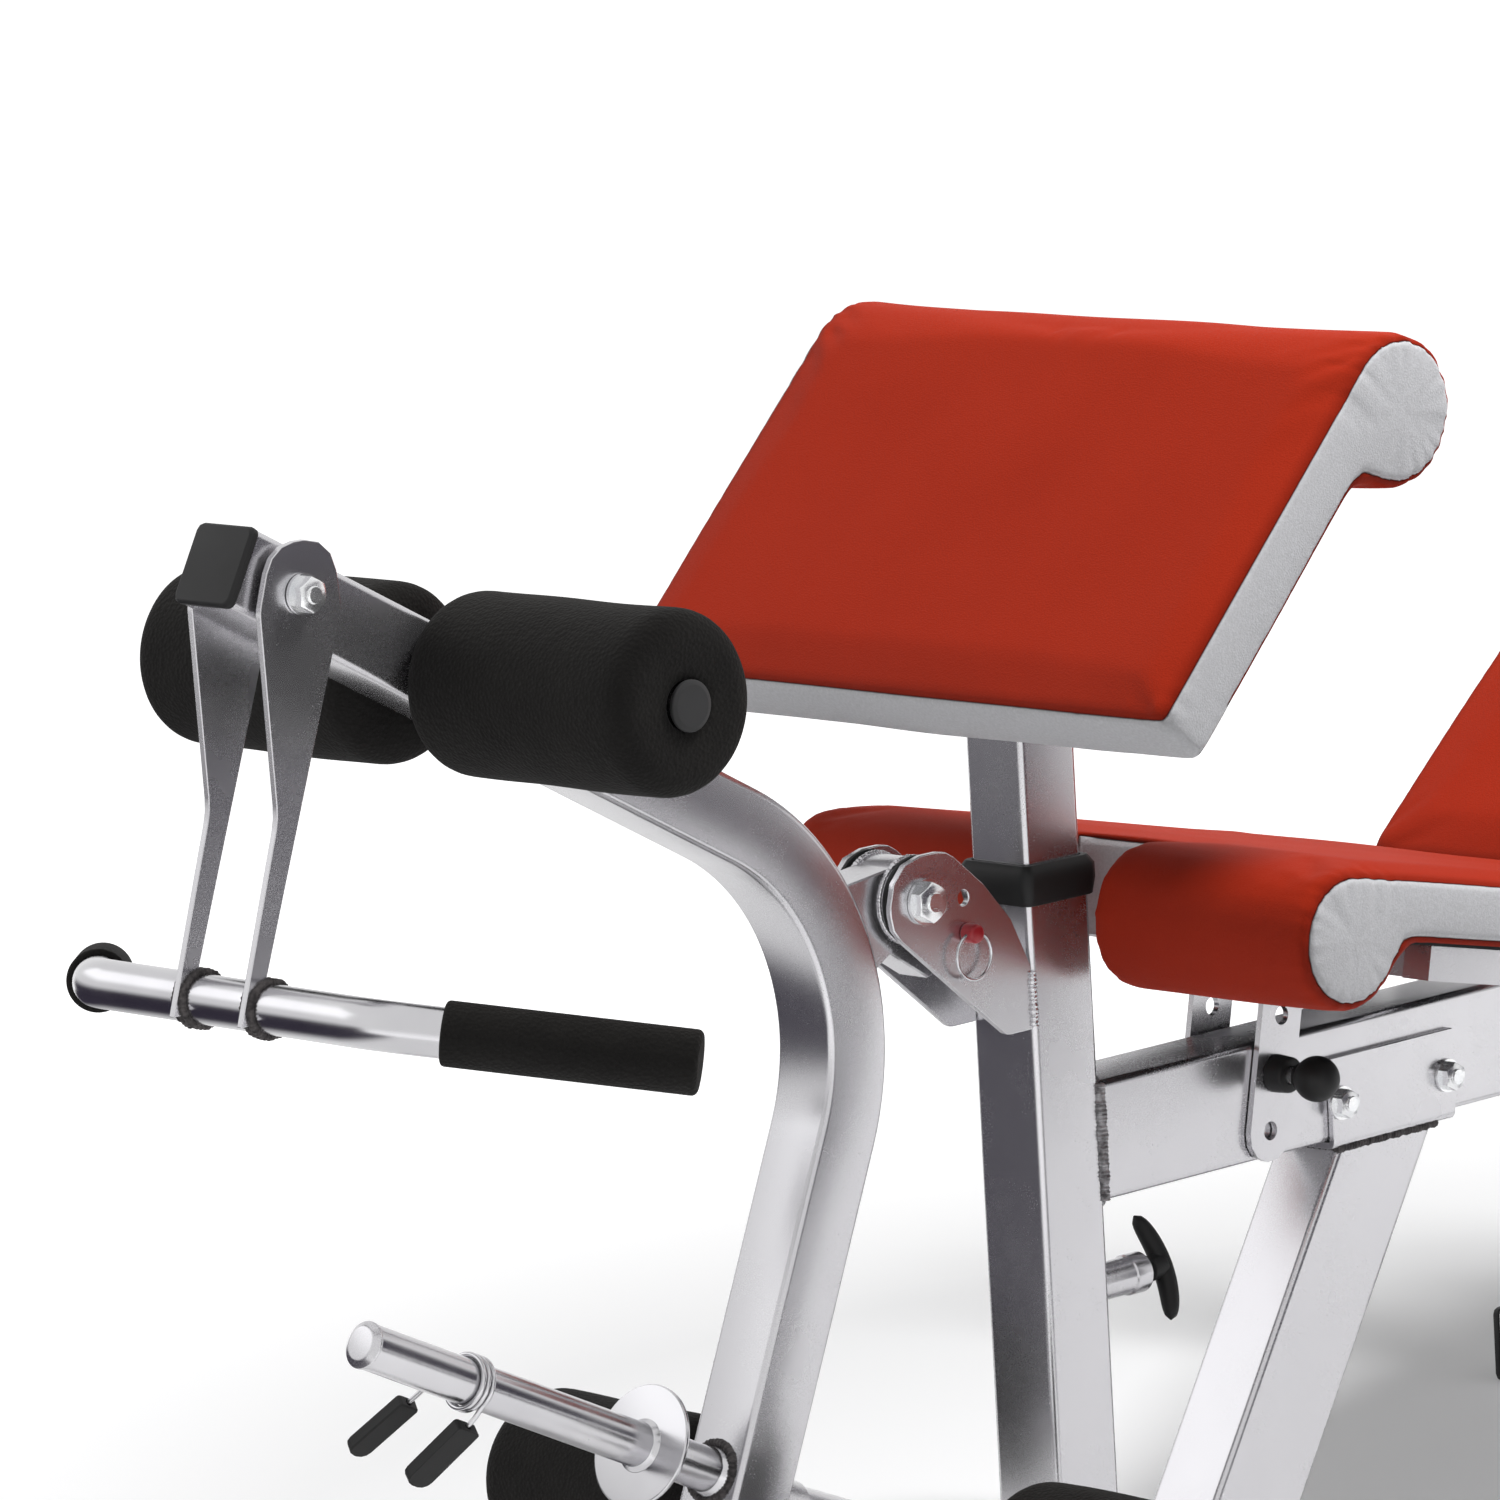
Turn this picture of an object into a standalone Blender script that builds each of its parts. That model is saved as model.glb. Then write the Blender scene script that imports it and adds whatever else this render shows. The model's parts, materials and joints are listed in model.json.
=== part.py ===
"""Bench press bench with arm-curl pad, leg lever and barbell catches.

Metres, +Z up, +Y towards the head end.
The origin lies on the floor, under the middle of the front post.
"""

import math

import bmesh
import bpy
from mathutils import Matrix, Vector

# Fits and stock
GAP = 0.0003
SLIDE = 0.0005
WALL = 0.002
PLATE = 0.004
FOOT = 0.050
POST = 0.050
INNER = 0.045
BEAM_W = 0.050
BEAM_H = 0.070
RAIL = 0.020
CORNER = 0.004

# Main frame
BEAM_Z = 0.3435
POST_TOP = 0.500
FRONT_FOOT_LENGTH = 0.560
REAR_FOOT_LENGTH = 0.716
REAR_Y = 0.800
BRACE_ANGLE = math.radians(32.0)
BRACE_TOP_Y = 0.263
BRACKET_LENGTH = 0.106
BRACKET_HEIGHT = 0.055
UPRIGHT_X = 0.240
UPRIGHT_TOP = 0.720
CROSSBAR_Z = 0.315
COLLAR_OUT = 0.0035
COLLAR_DROP = 0.012
COLLAR_RISE = 0.011

# Leg lever, seen from the side
PIVOT_Y = -0.107
PIVOT_Z = 0.505
ARM = 0.044
ARM_RISE = math.radians(28.9)
ARM_LEAN = math.radians(23.2)
ARM_BEND = 0.147
BEND_Y = -0.1189
BEND_Z = 0.5032
ARM_LENGTH = 0.5266
ARM_DROP = 0.412
PIVOT_TUBE = 0.048
PIVOT_INSET = 0.021
PIVOT_BOLT = 0.012
ROLLER_AT = 0.1654
HANGER_AT = 0.0337
PEG_DOWN = 0.3305
PEG_RISE = math.radians(3.0)
PEG_LENGTH = 0.273
PEG_D = 0.0255
PEG_STOP_AT = 0.0568
PEG_STOP_D = 0.070
CARRIER_DOWN = 0.3415
CARRIER_LENGTH = 0.1072
CARRIER_D = 0.036

# Rollers and curl bar
FOAM_D = 0.100
ROLLER_BAR = 0.025
UPPER_FOAM_IN = 0.024
UPPER_FOAM_OUT = 0.200
LOWER_FOAM_IN = 0.127
LOWER_FOAM_OUT = 0.277
CURL_D = 0.027
CURL_HALF = 0.1128
CURL_SWEEP = math.radians(40.9)
CURL_TILT = math.radians(13.4)
CURL_DROP = 0.2137
CURL_REACH = 0.0396
CURL_BEND = 0.045
GRIP_D = 0.0345
GRIP_LENGTH = 0.134
GRIP_START = 0.0357
HANGER_X = 0.0255
HANGER_KINK_Y = -0.0183
HANGER_KINK_Z = -0.1155
HANGER_WAIST = 0.0075
HANGER_TIP = 0.0055

# Arm pad
PAD_ANGLE = math.radians(45.3)
PAD_T = 0.047
PAD_R = 0.046
PAD_LENGTH = 0.248
PAD_RIM = 0.010
PAD_HALF = 0.221
PAD_Y = -0.113
PAD_Z = 0.622
PAD_POST_LOW = 0.215
PAD_STEP = 0.025
PAD_POST_TAIL = 0.115
PAD_PLATE_HALF = 0.075
PAD_PLATE_DOWN = 0.050
PAD_PLATE_CORNER = 0.010
POST_PIN_Z = 0.255

# Seat and backrest
HINGE_Y = 0.440
HINGE_Z = 0.395
SEAT_TILT = math.radians(12.0)
SEAT_R = 0.043
SEAT_T = 0.045
SEAT_HINGE_GAP = 0.043
SEAT_RISE = 0.0387
SEAT_HALF = 0.215
SEAT_RIM = 0.016
SEAT_LENGTH = 0.362
NOTCH_HALF = 0.045
NOTCH_TO_HINGE = 0.369
SEAT_RAIL_X = 0.150
SEAT_STEP = math.radians(7.0)
SEAT_PLATE_W = 0.033
SEAT_PIN_Y = 0.166
SEAT_PIN_Z = 0.359
SEAT_PIN_D = 0.010
BACK_ANGLE = math.radians(40.0)
BACK_HALF = 0.148
BACK_T = 0.045
BACK_LENGTH = 0.700
BACK_START = 0.018
BACK_FACE = 0.034
BACK_RAIL_D = 0.025
QUADRANT_R = 0.150
QUADRANT_BELOW = math.radians(22.0)
QUADRANT_SPAN = math.radians(70.0)
QUADRANT_STEPS = 7

# Barbell catches
CATCH_BASE = 0.480
CATCH_TOP = 0.880
CATCH_R = 0.024
CATCH_T = 0.006
CATCH_STEP = 0.050
CATCH_LIP = 0.052
CATCH_BACK = 0.022
CATCH_INSET = 0.001
CATCH_KNOB = 0.050
CATCH_PIN_Z = 0.650

SILVER = ("silver_paint", (0.50, 0.50, 0.53), 0.35, 0.7)
CHROME = ("bright_plating", (0.78, 0.78, 0.80), 0.15, 1.0)
ZINC = ("zinc_bolts", (0.70, 0.70, 0.70), 0.3, 1.0)
BLACK = ("black_plastic", (0.02, 0.02, 0.02), 0.5, 0.0)
FOAM = ("black_foam", (0.012, 0.012, 0.012), 0.95, 0.0)
RED = ("red_plastic", (0.55, 0.03, 0.05), 0.4, 0.0)
VINYL = ("orange_red_vinyl", (0.40, 0.035, 0.015), 0.5, 0.0)

for old in list(bpy.data.objects):
    bpy.data.objects.remove(old, do_unlink=True)

PARTS = bpy.data.collections.new("bench_press_bench")
CUTTERS = bpy.data.collections.new("cutters")
bpy.context.scene.collection.children.link(PARTS)
bpy.context.scene.collection.children.link(CUTTERS)
CUTTERS.hide_render = True


def material(spec):
    name, colour, rough, metal = spec
    found = bpy.data.materials.get(name)
    if found:
        return found
    made = bpy.data.materials.new(name)
    made.use_nodes = True
    shader = made.node_tree.nodes["Principled BSDF"]
    shader.inputs["Base Color"].default_value = (*colour, 1.0)
    shader.inputs["Roughness"].default_value = rough
    shader.inputs["Metallic"].default_value = metal
    return made


def body(name, y=0.0, z=0.0, x=0.0, parent=None):
    """An empty on a joint axis, which carries the pieces that move together."""
    made = bpy.data.objects.new(name, None)
    made.empty_display_size = 0.05
    PARTS.objects.link(made)
    made.parent = parent
    at = Vector((x, y, z))
    made["at"] = at
    made.location = at - Vector(parent["at"]) if parent else at
    return made


def put(obj, spec, carrier, at, turn=None, smooth=False):
    """Names the material, parents the piece and places it by its world position and rotation."""
    PARTS.objects.link(obj)
    obj.data.materials.append(material(spec))
    obj.parent = carrier
    obj.rotation_euler = turn.to_euler() if turn else (0.0, 0.0, 0.0)
    obj.location = Vector(at) - (Vector(carrier["at"]) if carrier else Vector())
    if smooth and obj.type == "MESH":
        obj.data.polygons.foreach_set("use_smooth", [True] * len(obj.data.polygons))
    return obj


def mesh_object(name, bm):
    bmesh.ops.recalc_face_normals(bm, faces=bm.faces[:])
    data = bpy.data.meshes.new(name)
    bm.to_mesh(data)
    bm.free()
    return bpy.data.objects.new(name, data)


def rounded(corners, degrees=28.0):
    """Outline of a polygon given as (a, b, radius) corners, with each corner turned on an arc."""
    out = []
    count = len(corners)
    for i, (a, b, radius) in enumerate(corners):
        here = Vector((a, b))
        before = (Vector(corners[i - 1][:2]) - here).normalized()
        after = (Vector(corners[(i + 1) % count][:2]) - here).normalized()
        opening = before.angle(after)
        if radius < 1e-5 or opening > 3.1:
            out.append((a, b))
            continue
        reach = radius / math.tan(opening / 2)
        start = here + before * reach
        centre = here + (before + after).normalized() * (radius / math.sin(opening / 2))
        sweep = math.pi - opening
        side = 1.0 if before.cross(after) < 0 else -1.0
        steps = max(2, round(sweep / math.radians(degrees)))
        spoke = start - centre
        for k in range(steps + 1):
            turn = Matrix.Rotation(side * sweep * k / steps, 2)
            out.append(tuple(centre + turn @ spoke))
    return out


def circle(a, b, radius, steps=20):
    """Round outline whose flats lie just outside the radius, so that a round piece still passes."""
    reach = radius / math.cos(math.pi / steps)
    return [
        (a + reach * math.cos(2 * math.pi * k / steps), b + reach * math.sin(2 * math.pi * k / steps))
        for k in range(steps)
    ]


def plate(name, outline, thickness, holes=()):
    """Flat plate cut from sheet: a filled 2D curve, extruded both ways from its local XY plane."""
    curve = bpy.data.curves.new(name, "CURVE")
    curve.dimensions = "2D"
    curve.fill_mode = "BOTH"
    curve.extrude = thickness / 2
    for loop in [outline, *holes]:
        spline = curve.splines.new("POLY")
        spline.points.add(len(loop) - 1)
        for point, (a, b) in zip(spline.points, loop):
            point.co = (a, b, 0.0, 1.0)
        spline.use_cyclic_u = True
    flat = bpy.data.objects.new(name + "_curve", curve)
    bpy.context.scene.collection.objects.link(flat)
    return as_mesh(flat, name)


def as_mesh(source, name, weld=1e-6):
    graph = bpy.context.evaluated_depsgraph_get()
    data = bpy.data.meshes.new_from_object(source.evaluated_get(graph))
    data.name = name
    bm = bmesh.new()
    bm.from_mesh(data)
    bmesh.ops.remove_doubles(bm, verts=bm.verts[:], dist=weld)
    bmesh.ops.recalc_face_normals(bm, faces=bm.faces[:])
    bm.to_mesh(data)
    bm.free()
    data.materials.clear()
    bpy.data.objects.remove(source, do_unlink=True)
    return bpy.data.objects.new(name, data)


def wire(name, points, diameter, cyclic=False, resolution=2):
    """Round rod or closed ring bent along a line of points."""
    curve = bpy.data.curves.new(name, "CURVE")
    curve.dimensions = "3D"
    curve.bevel_depth = diameter / 2
    curve.bevel_resolution = resolution
    curve.use_fill_caps = True
    spline = curve.splines.new("POLY")
    spline.points.add(len(points) - 1)
    for point, at in zip(spline.points, points):
        point.co = (*at, 1.0)
    spline.use_cyclic_u = cyclic
    bent = bpy.data.objects.new(name + "_curve", curve)
    bpy.context.scene.collection.objects.link(bent)
    return as_mesh(bent, name)


def turned(name, profile, steps=24):
    """Turned piece about local Z. The profile runs top to bottom on the outer side, as (radius, height)."""
    data = bpy.data.meshes.new(name)
    closed = profile[0][0] > 0 or profile[-1][0] > 0
    edges = [(i, i + 1) for i in range(len(profile) - 1)]
    if closed:
        edges.append((len(profile) - 1, 0))
    data.from_pydata([(r, 0.0, h) for r, h in profile], edges, [])
    obj = bpy.data.objects.new(name, data)
    screw = obj.modifiers.new("turn", "SCREW")
    screw.axis = "Z"
    screw.steps = steps
    screw.render_steps = steps
    screw.use_merge_vertices = True
    screw.merge_threshold = 0.00005
    screw.use_smooth_shade = True
    return obj


def box(name, size, at=(0.0, 0.0, 0.0)):
    bm = bmesh.new()
    bmesh.ops.create_cube(bm, size=1.0, matrix=Matrix.Translation(at) @ Matrix.Diagonal((*size, 1.0)))
    return mesh_object(name, bm)


def bore(name, diameter, length, at, axis="X", sides=16):
    """Round cutter whose flats clear the diameter."""
    bm = bmesh.new()
    reach = diameter / 2 / math.cos(math.pi / sides)
    turns = {"X": Matrix.Rotation(math.pi / 2, 4, "Y"), "Y": Matrix.Rotation(math.pi / 2, 4, "X")}
    where = Matrix.Translation(at) @ turns.get(axis, Matrix())
    bmesh.ops.create_cone(
        bm, cap_ends=True, segments=sides, radius1=reach, radius2=reach, depth=length, matrix=where
    )
    return mesh_object(name, bm)


def combine(obj, tool, operation, frame=None):
    """Boolean with a shape given in the piece's own space or, with the piece's frame, in world space."""
    CUTTERS.objects.link(tool)
    tool.display_type = "WIRE"
    tool.hide_render = True
    tool.parent = obj
    if frame:
        tool.matrix_local = frame.inverted()
    change = obj.modifiers.new(operation.lower(), "BOOLEAN")
    change.operation = operation
    change.solver = "EXACT"
    change.object = tool


def ring_loop(width, depth, corner):
    half_w, half_d = width / 2, depth / 2
    corners = [(-half_w, -half_d), (half_w, -half_d), (half_w, half_d), (-half_w, half_d)]
    return rounded([(a, b, corner) for a, b in corners], 45.0)


def box_tube(name, width, depth, stations, wall=WALL, corner=CORNER):
    """Rounded rectangular tube. Each station is a matrix that places the section's plane, local XY."""
    outer = ring_loop(width, depth, corner)
    inner = ring_loop(width - 2 * wall, depth - 2 * wall, max(corner - wall, 0.001))
    bm = bmesh.new()
    rings = []
    for where in stations:
        out = [bm.verts.new(where @ Vector((a, b, 0.0))) for a, b in outer]
        inn = [bm.verts.new(where @ Vector((a, b, 0.0))) for a, b in inner]
        rings.append((out, inn))
    count = len(outer)
    for (out0, inn0), (out1, inn1) in zip(rings, rings[1:]):
        for i in range(count):
            j = (i + 1) % count
            bm.faces.new((out0[i], out0[j], out1[j], out1[i]))
            bm.faces.new((inn0[j], inn0[i], inn1[i], inn1[j]))
    for out, inn in (rings[0], rings[-1]):
        for i in range(count):
            j = (i + 1) % count
            bm.faces.new((out[i], out[j], inn[j], inn[i]))
    return mesh_object(name, bm)


def straight(length, start=0.0, shear0=0.0, shear1=0.0):
    """Two stations along local Z. A shear tips that end's plane, as height per unit of local Y."""
    first = Matrix.Translation((0.0, 0.0, start))
    last = Matrix.Translation((0.0, 0.0, start + length))
    first[2][1] = shear0
    last[2][1] = shear1
    return [first, last]


ALONG_X = Matrix.Rotation(math.pi / 2, 3, "Y")
ALONG_Y = Matrix.Rotation(-math.pi / 2, 3, "X")
SIDE = Matrix(((0.0, 0.0, 1.0), (1.0, 0.0, 0.0), (0.0, 1.0, 0.0)))


def tilt(angle):
    """Rotation about X by which +Y rises."""
    return Matrix.Rotation(angle, 3, "X")


def hexagon(across):
    reach = across / math.sqrt(3)
    return [(reach * math.cos(math.pi / 3 * k), reach * math.sin(math.pi / 3 * k)) for k in range(6)]


def bolt(name, shank, grip, across, head, washer_d, washer_t=0.0018, fit=GAP):
    """Bolt, its two washers and nut as one fastened piece along local Z, clamped round z = 0."""
    seat = grip / 2 + fit
    out = seat + washer_t
    tail = out + head
    obj = turned(
        name,
        [
            (0.0, tail + 0.0015),
            (shank / 2 - 0.0008, tail + 0.0015),
            (shank / 2, tail + 0.0007),
            (shank / 2, out),
            (washer_d / 2, out),
            (washer_d / 2, seat),
            (shank / 2, seat),
            (shank / 2, -seat),
            (washer_d / 2, -seat),
            (washer_d / 2, -out),
            (shank / 2, -out),
            (shank / 2, -tail + 0.001),
            (0.0, -tail + 0.001),
        ],
        steps=14,
    )
    for sign in (1, -1):
        nut = plate(name + "_hex", hexagon(across), head)
        nut.location = (0.0, 0.0, sign * (out + head / 2 - 0.0002))
        combine(obj, nut, "UNION")
    return obj


def end_plug(name, width, depth, flange, reach, wall=WALL):
    """Moulded plug for the end of a rectangular tube: a flange and a hollow spigot that enters the tube."""
    loops = [
        (ring_loop(width, depth, CORNER), 0.0),
        (ring_loop(width, depth, CORNER), flange * 0.6),
        (ring_loop(width - 0.002, depth - 0.002, CORNER), flange),
    ]
    bm = bmesh.new()
    rings = [[bm.verts.new((a, b, h)) for a, b in loop] for loop, h in loops]
    inset = 2 * wall + 2 * SLIDE
    spigot = ring_loop(width - inset, depth - inset, CORNER - wall)
    hollow = ring_loop(width - inset - 0.004, depth - inset - 0.004, 0.001)
    rings.insert(0, [bm.verts.new((a, b, 0.0)) for a, b in spigot])
    rings.insert(0, [bm.verts.new((a, b, -reach)) for a, b in spigot])
    rings.insert(0, [bm.verts.new((a, b, -reach)) for a, b in hollow])
    rings.insert(0, [bm.verts.new((a, b, -0.0005)) for a, b in hollow])
    count = len(rings[0])
    for low, high in zip(rings, rings[1:]):
        for i in range(count):
            j = (i + 1) % count
            bm.faces.new((low[i], low[j], high[j], high[i]))
    bm.faces.new(rings[0])
    bm.faces.new(rings[-1])
    return mesh_object(name, bm)


def collar(name, tube, drop, rise, sleeve):
    """Moulded collar over a tube's mouth. It laps the outside, and its bore guides the inner post."""
    out = tube + 2 * COLLAR_OUT
    bore_w = sleeve + 2 * SLIDE
    loops = [
        (ring_loop(tube + 2 * SLIDE, tube + 2 * SLIDE, CORNER), 0.0),
        (ring_loop(tube + 2 * SLIDE, tube + 2 * SLIDE, CORNER), -drop),
        (ring_loop(out - 0.002, out - 0.002, CORNER + 0.001), -drop),
        (ring_loop(out + 0.002, out + 0.002, CORNER + 0.003), -drop * 0.2),
        (ring_loop(out + 0.002, out + 0.002, CORNER + 0.003), rise * 0.55),
        (ring_loop(out - 0.005, out - 0.005, CORNER + 0.001), rise),
        (ring_loop(bore_w, bore_w, CORNER - 0.001), rise),
        (ring_loop(bore_w, bore_w, CORNER - 0.001), 0.0),
    ]
    bm = bmesh.new()
    rings = [[bm.verts.new((a, b, h)) for a, b in loop] for loop, h in loops]
    count = len(rings[0])
    for low, high in zip(rings, rings[1:] + rings[:1]):
        for i in range(count):
            j = (i + 1) % count
            bm.faces.new((low[i], low[j], high[j], high[i]))
    return mesh_object(name, bm)


def cushion(name, outline, half, bulge, edge, flat, sections=7):
    """Upholstered pad: a side outline carried across the width, crowned, and drawn in at the ends.

    The underside at the flat height, where the board lies, has no crown.
    """
    count = len(outline)
    normals = []
    for i in range(count):
        before = Vector(outline[i]) - Vector(outline[i - 1])
        after = Vector(outline[(i + 1) % count]) - Vector(outline[i])
        along = (before.normalized() + after.normalized()).normalized()
        normals.append(Vector((along.y, -along.x)))
    places = []
    for k in range(sections):
        share = -1.0 + 2.0 * k / (sections - 1)
        places.append((share * (half - edge), bulge * (1 - share * share)))
    rounding = [(1.0, 1.0), (0.75, 0.34), (0.38, 0.075)]
    low = [(-(half - edge) - edge * s, -edge * d) for s, d in rounding]
    high = [(-x, d) for x, d in reversed(low)]
    rows = low + places + high
    bm = bmesh.new()
    rings = []
    for x, grow in rows:
        ring = []
        for point, normal in zip(outline, normals):
            on_board = grow > 0 and normal.y < -0.5 and abs(point[1] - flat) < 0.004
            ring.append(bm.verts.new((x, *(Vector(point) + normal * (0.0 if on_board else grow)))))
        rings.append(ring)
    for first, second in zip(rings, rings[1:]):
        for i in range(count):
            j = (i + 1) % count
            bm.faces.new((first[i], first[j], second[j], second[i]))
    bm.faces.new(rings[0])
    bm.faces.new(rings[-1])
    return mesh_object(name, bm)


def arc(centre, radius, start, end, steps):
    """Points from one angle to another, in degrees, without the last."""
    return [
        (
            centre[0] + radius * math.cos(math.radians(start + (end - start) * k / steps)),
            centre[1] + radius * math.sin(math.radians(start + (end - start) * k / steps)),
        )
        for k in range(steps)
    ]


def roll_outline(length, thick, radius, rear, steps=18, runs=6):
    """Side outline of a pad with a roll at one end. Y runs from the roll's middle, and the top is at 0."""
    meet = math.degrees(math.asin((radius - thick) / radius))
    points = arc((0.0, -radius), radius, 90.0, 360.0 + meet, steps)
    begin = radius + 0.008
    stop = length - rear
    points += [(begin + (stop - begin) * k / runs, -thick) for k in range(runs)]
    points += arc((stop, -thick + rear), rear, -90.0, 0.0, 3)
    points += arc((stop, -rear), rear, 0.0, 90.0, 3)
    points += [(stop * (1 - k / runs), 0.0) for k in range(runs)]
    return points


def slab_outline(start, stop, top, thick, rear, runs=8):
    """Side outline of a flat pad with rounded ends. The top face is at the given height."""
    points = [(start + rear + (stop - start - 2 * rear) * k / runs, top - thick) for k in range(runs)]
    points += arc((stop - rear, top - thick + rear), rear, -90.0, 0.0, 3)
    points += arc((stop - rear, top - rear), rear, 0.0, 90.0, 3)
    points += [(stop - rear - (stop - start - 2 * rear) * k / runs, top) for k in range(runs)]
    points += arc((start + rear, top - rear), rear, 90.0, 180.0, 3)
    points += arc((start + rear, top - thick + rear), rear, 180.0, 270.0, 3)
    return points


def yz(y, z, x=0.0):
    return Vector((x, y, z))


# Fixed frame: feet, front post, brace, beam and uprights
PIN_D = 0.009
BASE = body("base")
FOOT_MID = FOOT / 2
POST_LENGTH = POST_TOP - FOOT - GAP
BEAM_START = POST / 2 + GAP
BEAM_END = REAR_Y - POST / 2 - GAP

post = box_tube("front_post", POST, POST, straight(POST_LENGTH))
put(post, SILVER, BASE, (0.0, 0.0, FOOT + GAP))
post_pin_at = (0.0, POST / 2, POST_PIN_Z - FOOT - GAP)
combine(post, bore("post_pin_hole", PIN_D + 2 * SLIDE, 5 * WALL, post_pin_at, "Y"), "DIFFERENCE")

BRACE_RUN = math.tan(BRACE_ANGLE)
BEAM_LOW = BEAM_Z - BEAM_H / 2
BRACE_TOP = BEAM_LOW - GAP - PLATE
BRACE_FOOT_Y = BRACE_TOP_Y - (BRACE_TOP - FOOT) * BRACE_RUN
BRACE_HALF = BEAM_H / 2 / math.cos(BRACE_ANGLE)
SPUR_END = BRACE_FOOT_Y + BRACE_HALF + 0.018

foot = box_tube("front_foot", FOOT, FOOT, straight(FRONT_FOOT_LENGTH, -FRONT_FOOT_LENGTH / 2))
put(foot, SILVER, BASE, (0.0, 0.0, FOOT_MID), ALONG_X)
spur_mid = (SPUR_END + POST / 4) / 2
combine(foot, box("front_spur", (FOOT, SPUR_END - POST / 4, FOOT), (0.0, spur_mid, 0.0)), "UNION")

rear_foot = box_tube("rear_foot", FOOT, FOOT, straight(REAR_FOOT_LENGTH, -REAR_FOOT_LENGTH / 2))
put(rear_foot, SILVER, BASE, (0.0, REAR_Y, FOOT_MID), ALONG_X)
for label, length, y in (("front", FRONT_FOOT_LENGTH, 0.0), ("rear", REAR_FOOT_LENGTH, REAR_Y)):
    for side, sign in (("right", 1), ("left", -1)):
        plug = end_plug("foot_cap_" + label + "_" + side, FOOT, FOOT, 0.006, 0.018)
        place = (sign * (length / 2 + GAP), y, FOOT_MID)
        put(plug, BLACK, BASE, place, Matrix.Rotation(sign * math.pi / 2, 3, "Y"))

beam = box_tube("main_beam", BEAM_W, BEAM_H, straight(BEAM_END - BEAM_START))
put(beam, SILVER, BASE, (0.0, BEAM_START, BEAM_Z), ALONG_Y)

# ALONG_Y takes local Z to world Y and local Y to world -Z.
BOLT_REACH = 0.046
BOLT_SHANK = 0.010
THROUGH = 4 * BEAM_W
BRACKET_MID = BRACE_TOP_Y + 0.003
BRACKET_TOP = BEAM_LOW + BRACKET_HEIGHT - GAP - PLATE
for n, y in enumerate((BRACKET_MID - BOLT_REACH, BRACKET_MID + BOLT_REACH)):
    hole_at = (0.0, BEAM_Z - BRACKET_TOP + BRACKET_HEIGHT / 2, y - BEAM_START)
    combine(beam, bore("bracket_hole_%d" % n, BOLT_SHANK + 2 * SLIDE, THROUGH, hole_at), "DIFFERENCE")
    brace_grip = BEAM_W + 2 * GAP + 2 * PLATE
    through = bolt("brace_bolt_" + ("front", "rear")[n], BOLT_SHANK, brace_grip, 0.015, 0.0065, 0.020)
    put(through, ZINC, BASE, (0.0, y, BRACKET_TOP - BRACKET_HEIGHT / 2), ALONG_X)

# The brace leans forward as it goes down. Its ends are cut level, so each end plane is sheared.
lean = math.tan(BRACE_ANGLE)
brace_length = (BRACE_TOP + PLATE / 2 - FOOT - GAP) / math.cos(BRACE_ANGLE)
brace = box_tube("front_brace", BEAM_W, BEAM_H, straight(brace_length, 0.0, lean, lean))
brace_turn = Matrix.Rotation(-BRACE_ANGLE, 3, "X")
put(brace, SILVER, BASE, (0.0, BRACE_FOOT_Y, FOOT + GAP), brace_turn)
channel_half = BEAM_W / 2 + GAP
brace_frame = Matrix.Translation((0.0, BRACE_FOOT_Y, FOOT + GAP)) @ brace_turn.to_4x4()
channel = plate(
    "brace_channel",
    rounded(
        [
            (-channel_half - PLATE, 0.0, 0.005),
            (channel_half + PLATE, 0.0, 0.005),
            (channel_half + PLATE, BRACKET_HEIGHT, 0.0),
            (channel_half, BRACKET_HEIGHT, 0.0),
            (channel_half, PLATE, 0.001),
            (-channel_half, PLATE, 0.001),
            (-channel_half, BRACKET_HEIGHT, 0.0),
            (-channel_half - PLATE, BRACKET_HEIGHT, 0.0),
        ]
    ),
    BRACKET_LENGTH,
)
channel.data.transform(Matrix.Rotation(math.pi / 2, 4, "X"))
channel.data.transform(Matrix.Translation((0.0, BRACKET_MID, BRACE_TOP)))
combine(brace, channel, "UNION", brace_frame)
for n, y in enumerate((BRACKET_MID - BOLT_REACH, BRACKET_MID + BOLT_REACH)):
    hole_at = (0.0, y, BRACKET_TOP - BRACKET_HEIGHT / 2)
    channel_hole = bore("channel_hole_%d" % n, BOLT_SHANK + 2 * SLIDE, THROUGH, hole_at)
    combine(brace, channel_hole, "DIFFERENCE", brace_frame)

# Plates that carry the lever's pivot, welded to the front face of the post
STOP_Y = PIVOT_Y + 0.032
STOP_Z = PIVOT_Z - 0.023
STOP_D = 0.008
RING_D = 0.027
EYE_R = 0.026
LEVER_GAP = PIVOT_INSET
pivot_outline = rounded(
    [
        (PIVOT_Y - EYE_R, PIVOT_Z + EYE_R, EYE_R * 0.98),
        (PIVOT_Y + 0.020, PIVOT_Z + EYE_R, 0.020),
        (PIVOT_Y + 0.048, PIVOT_Z + 0.002, 0.020),
        (PIVOT_Y + 0.068, PIVOT_Z - 0.021, 0.006),
        (-POST / 2 - GAP, PIVOT_Z - 0.050, 0.006),
        (-POST / 2 - GAP, PIVOT_Z - 0.087, 0.002),
        (PIVOT_Y + 0.060, PIVOT_Z - 0.087, 0.008),
        (PIVOT_Y - EYE_R, PIVOT_Z - 0.014, 0.020),
    ]
)
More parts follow.
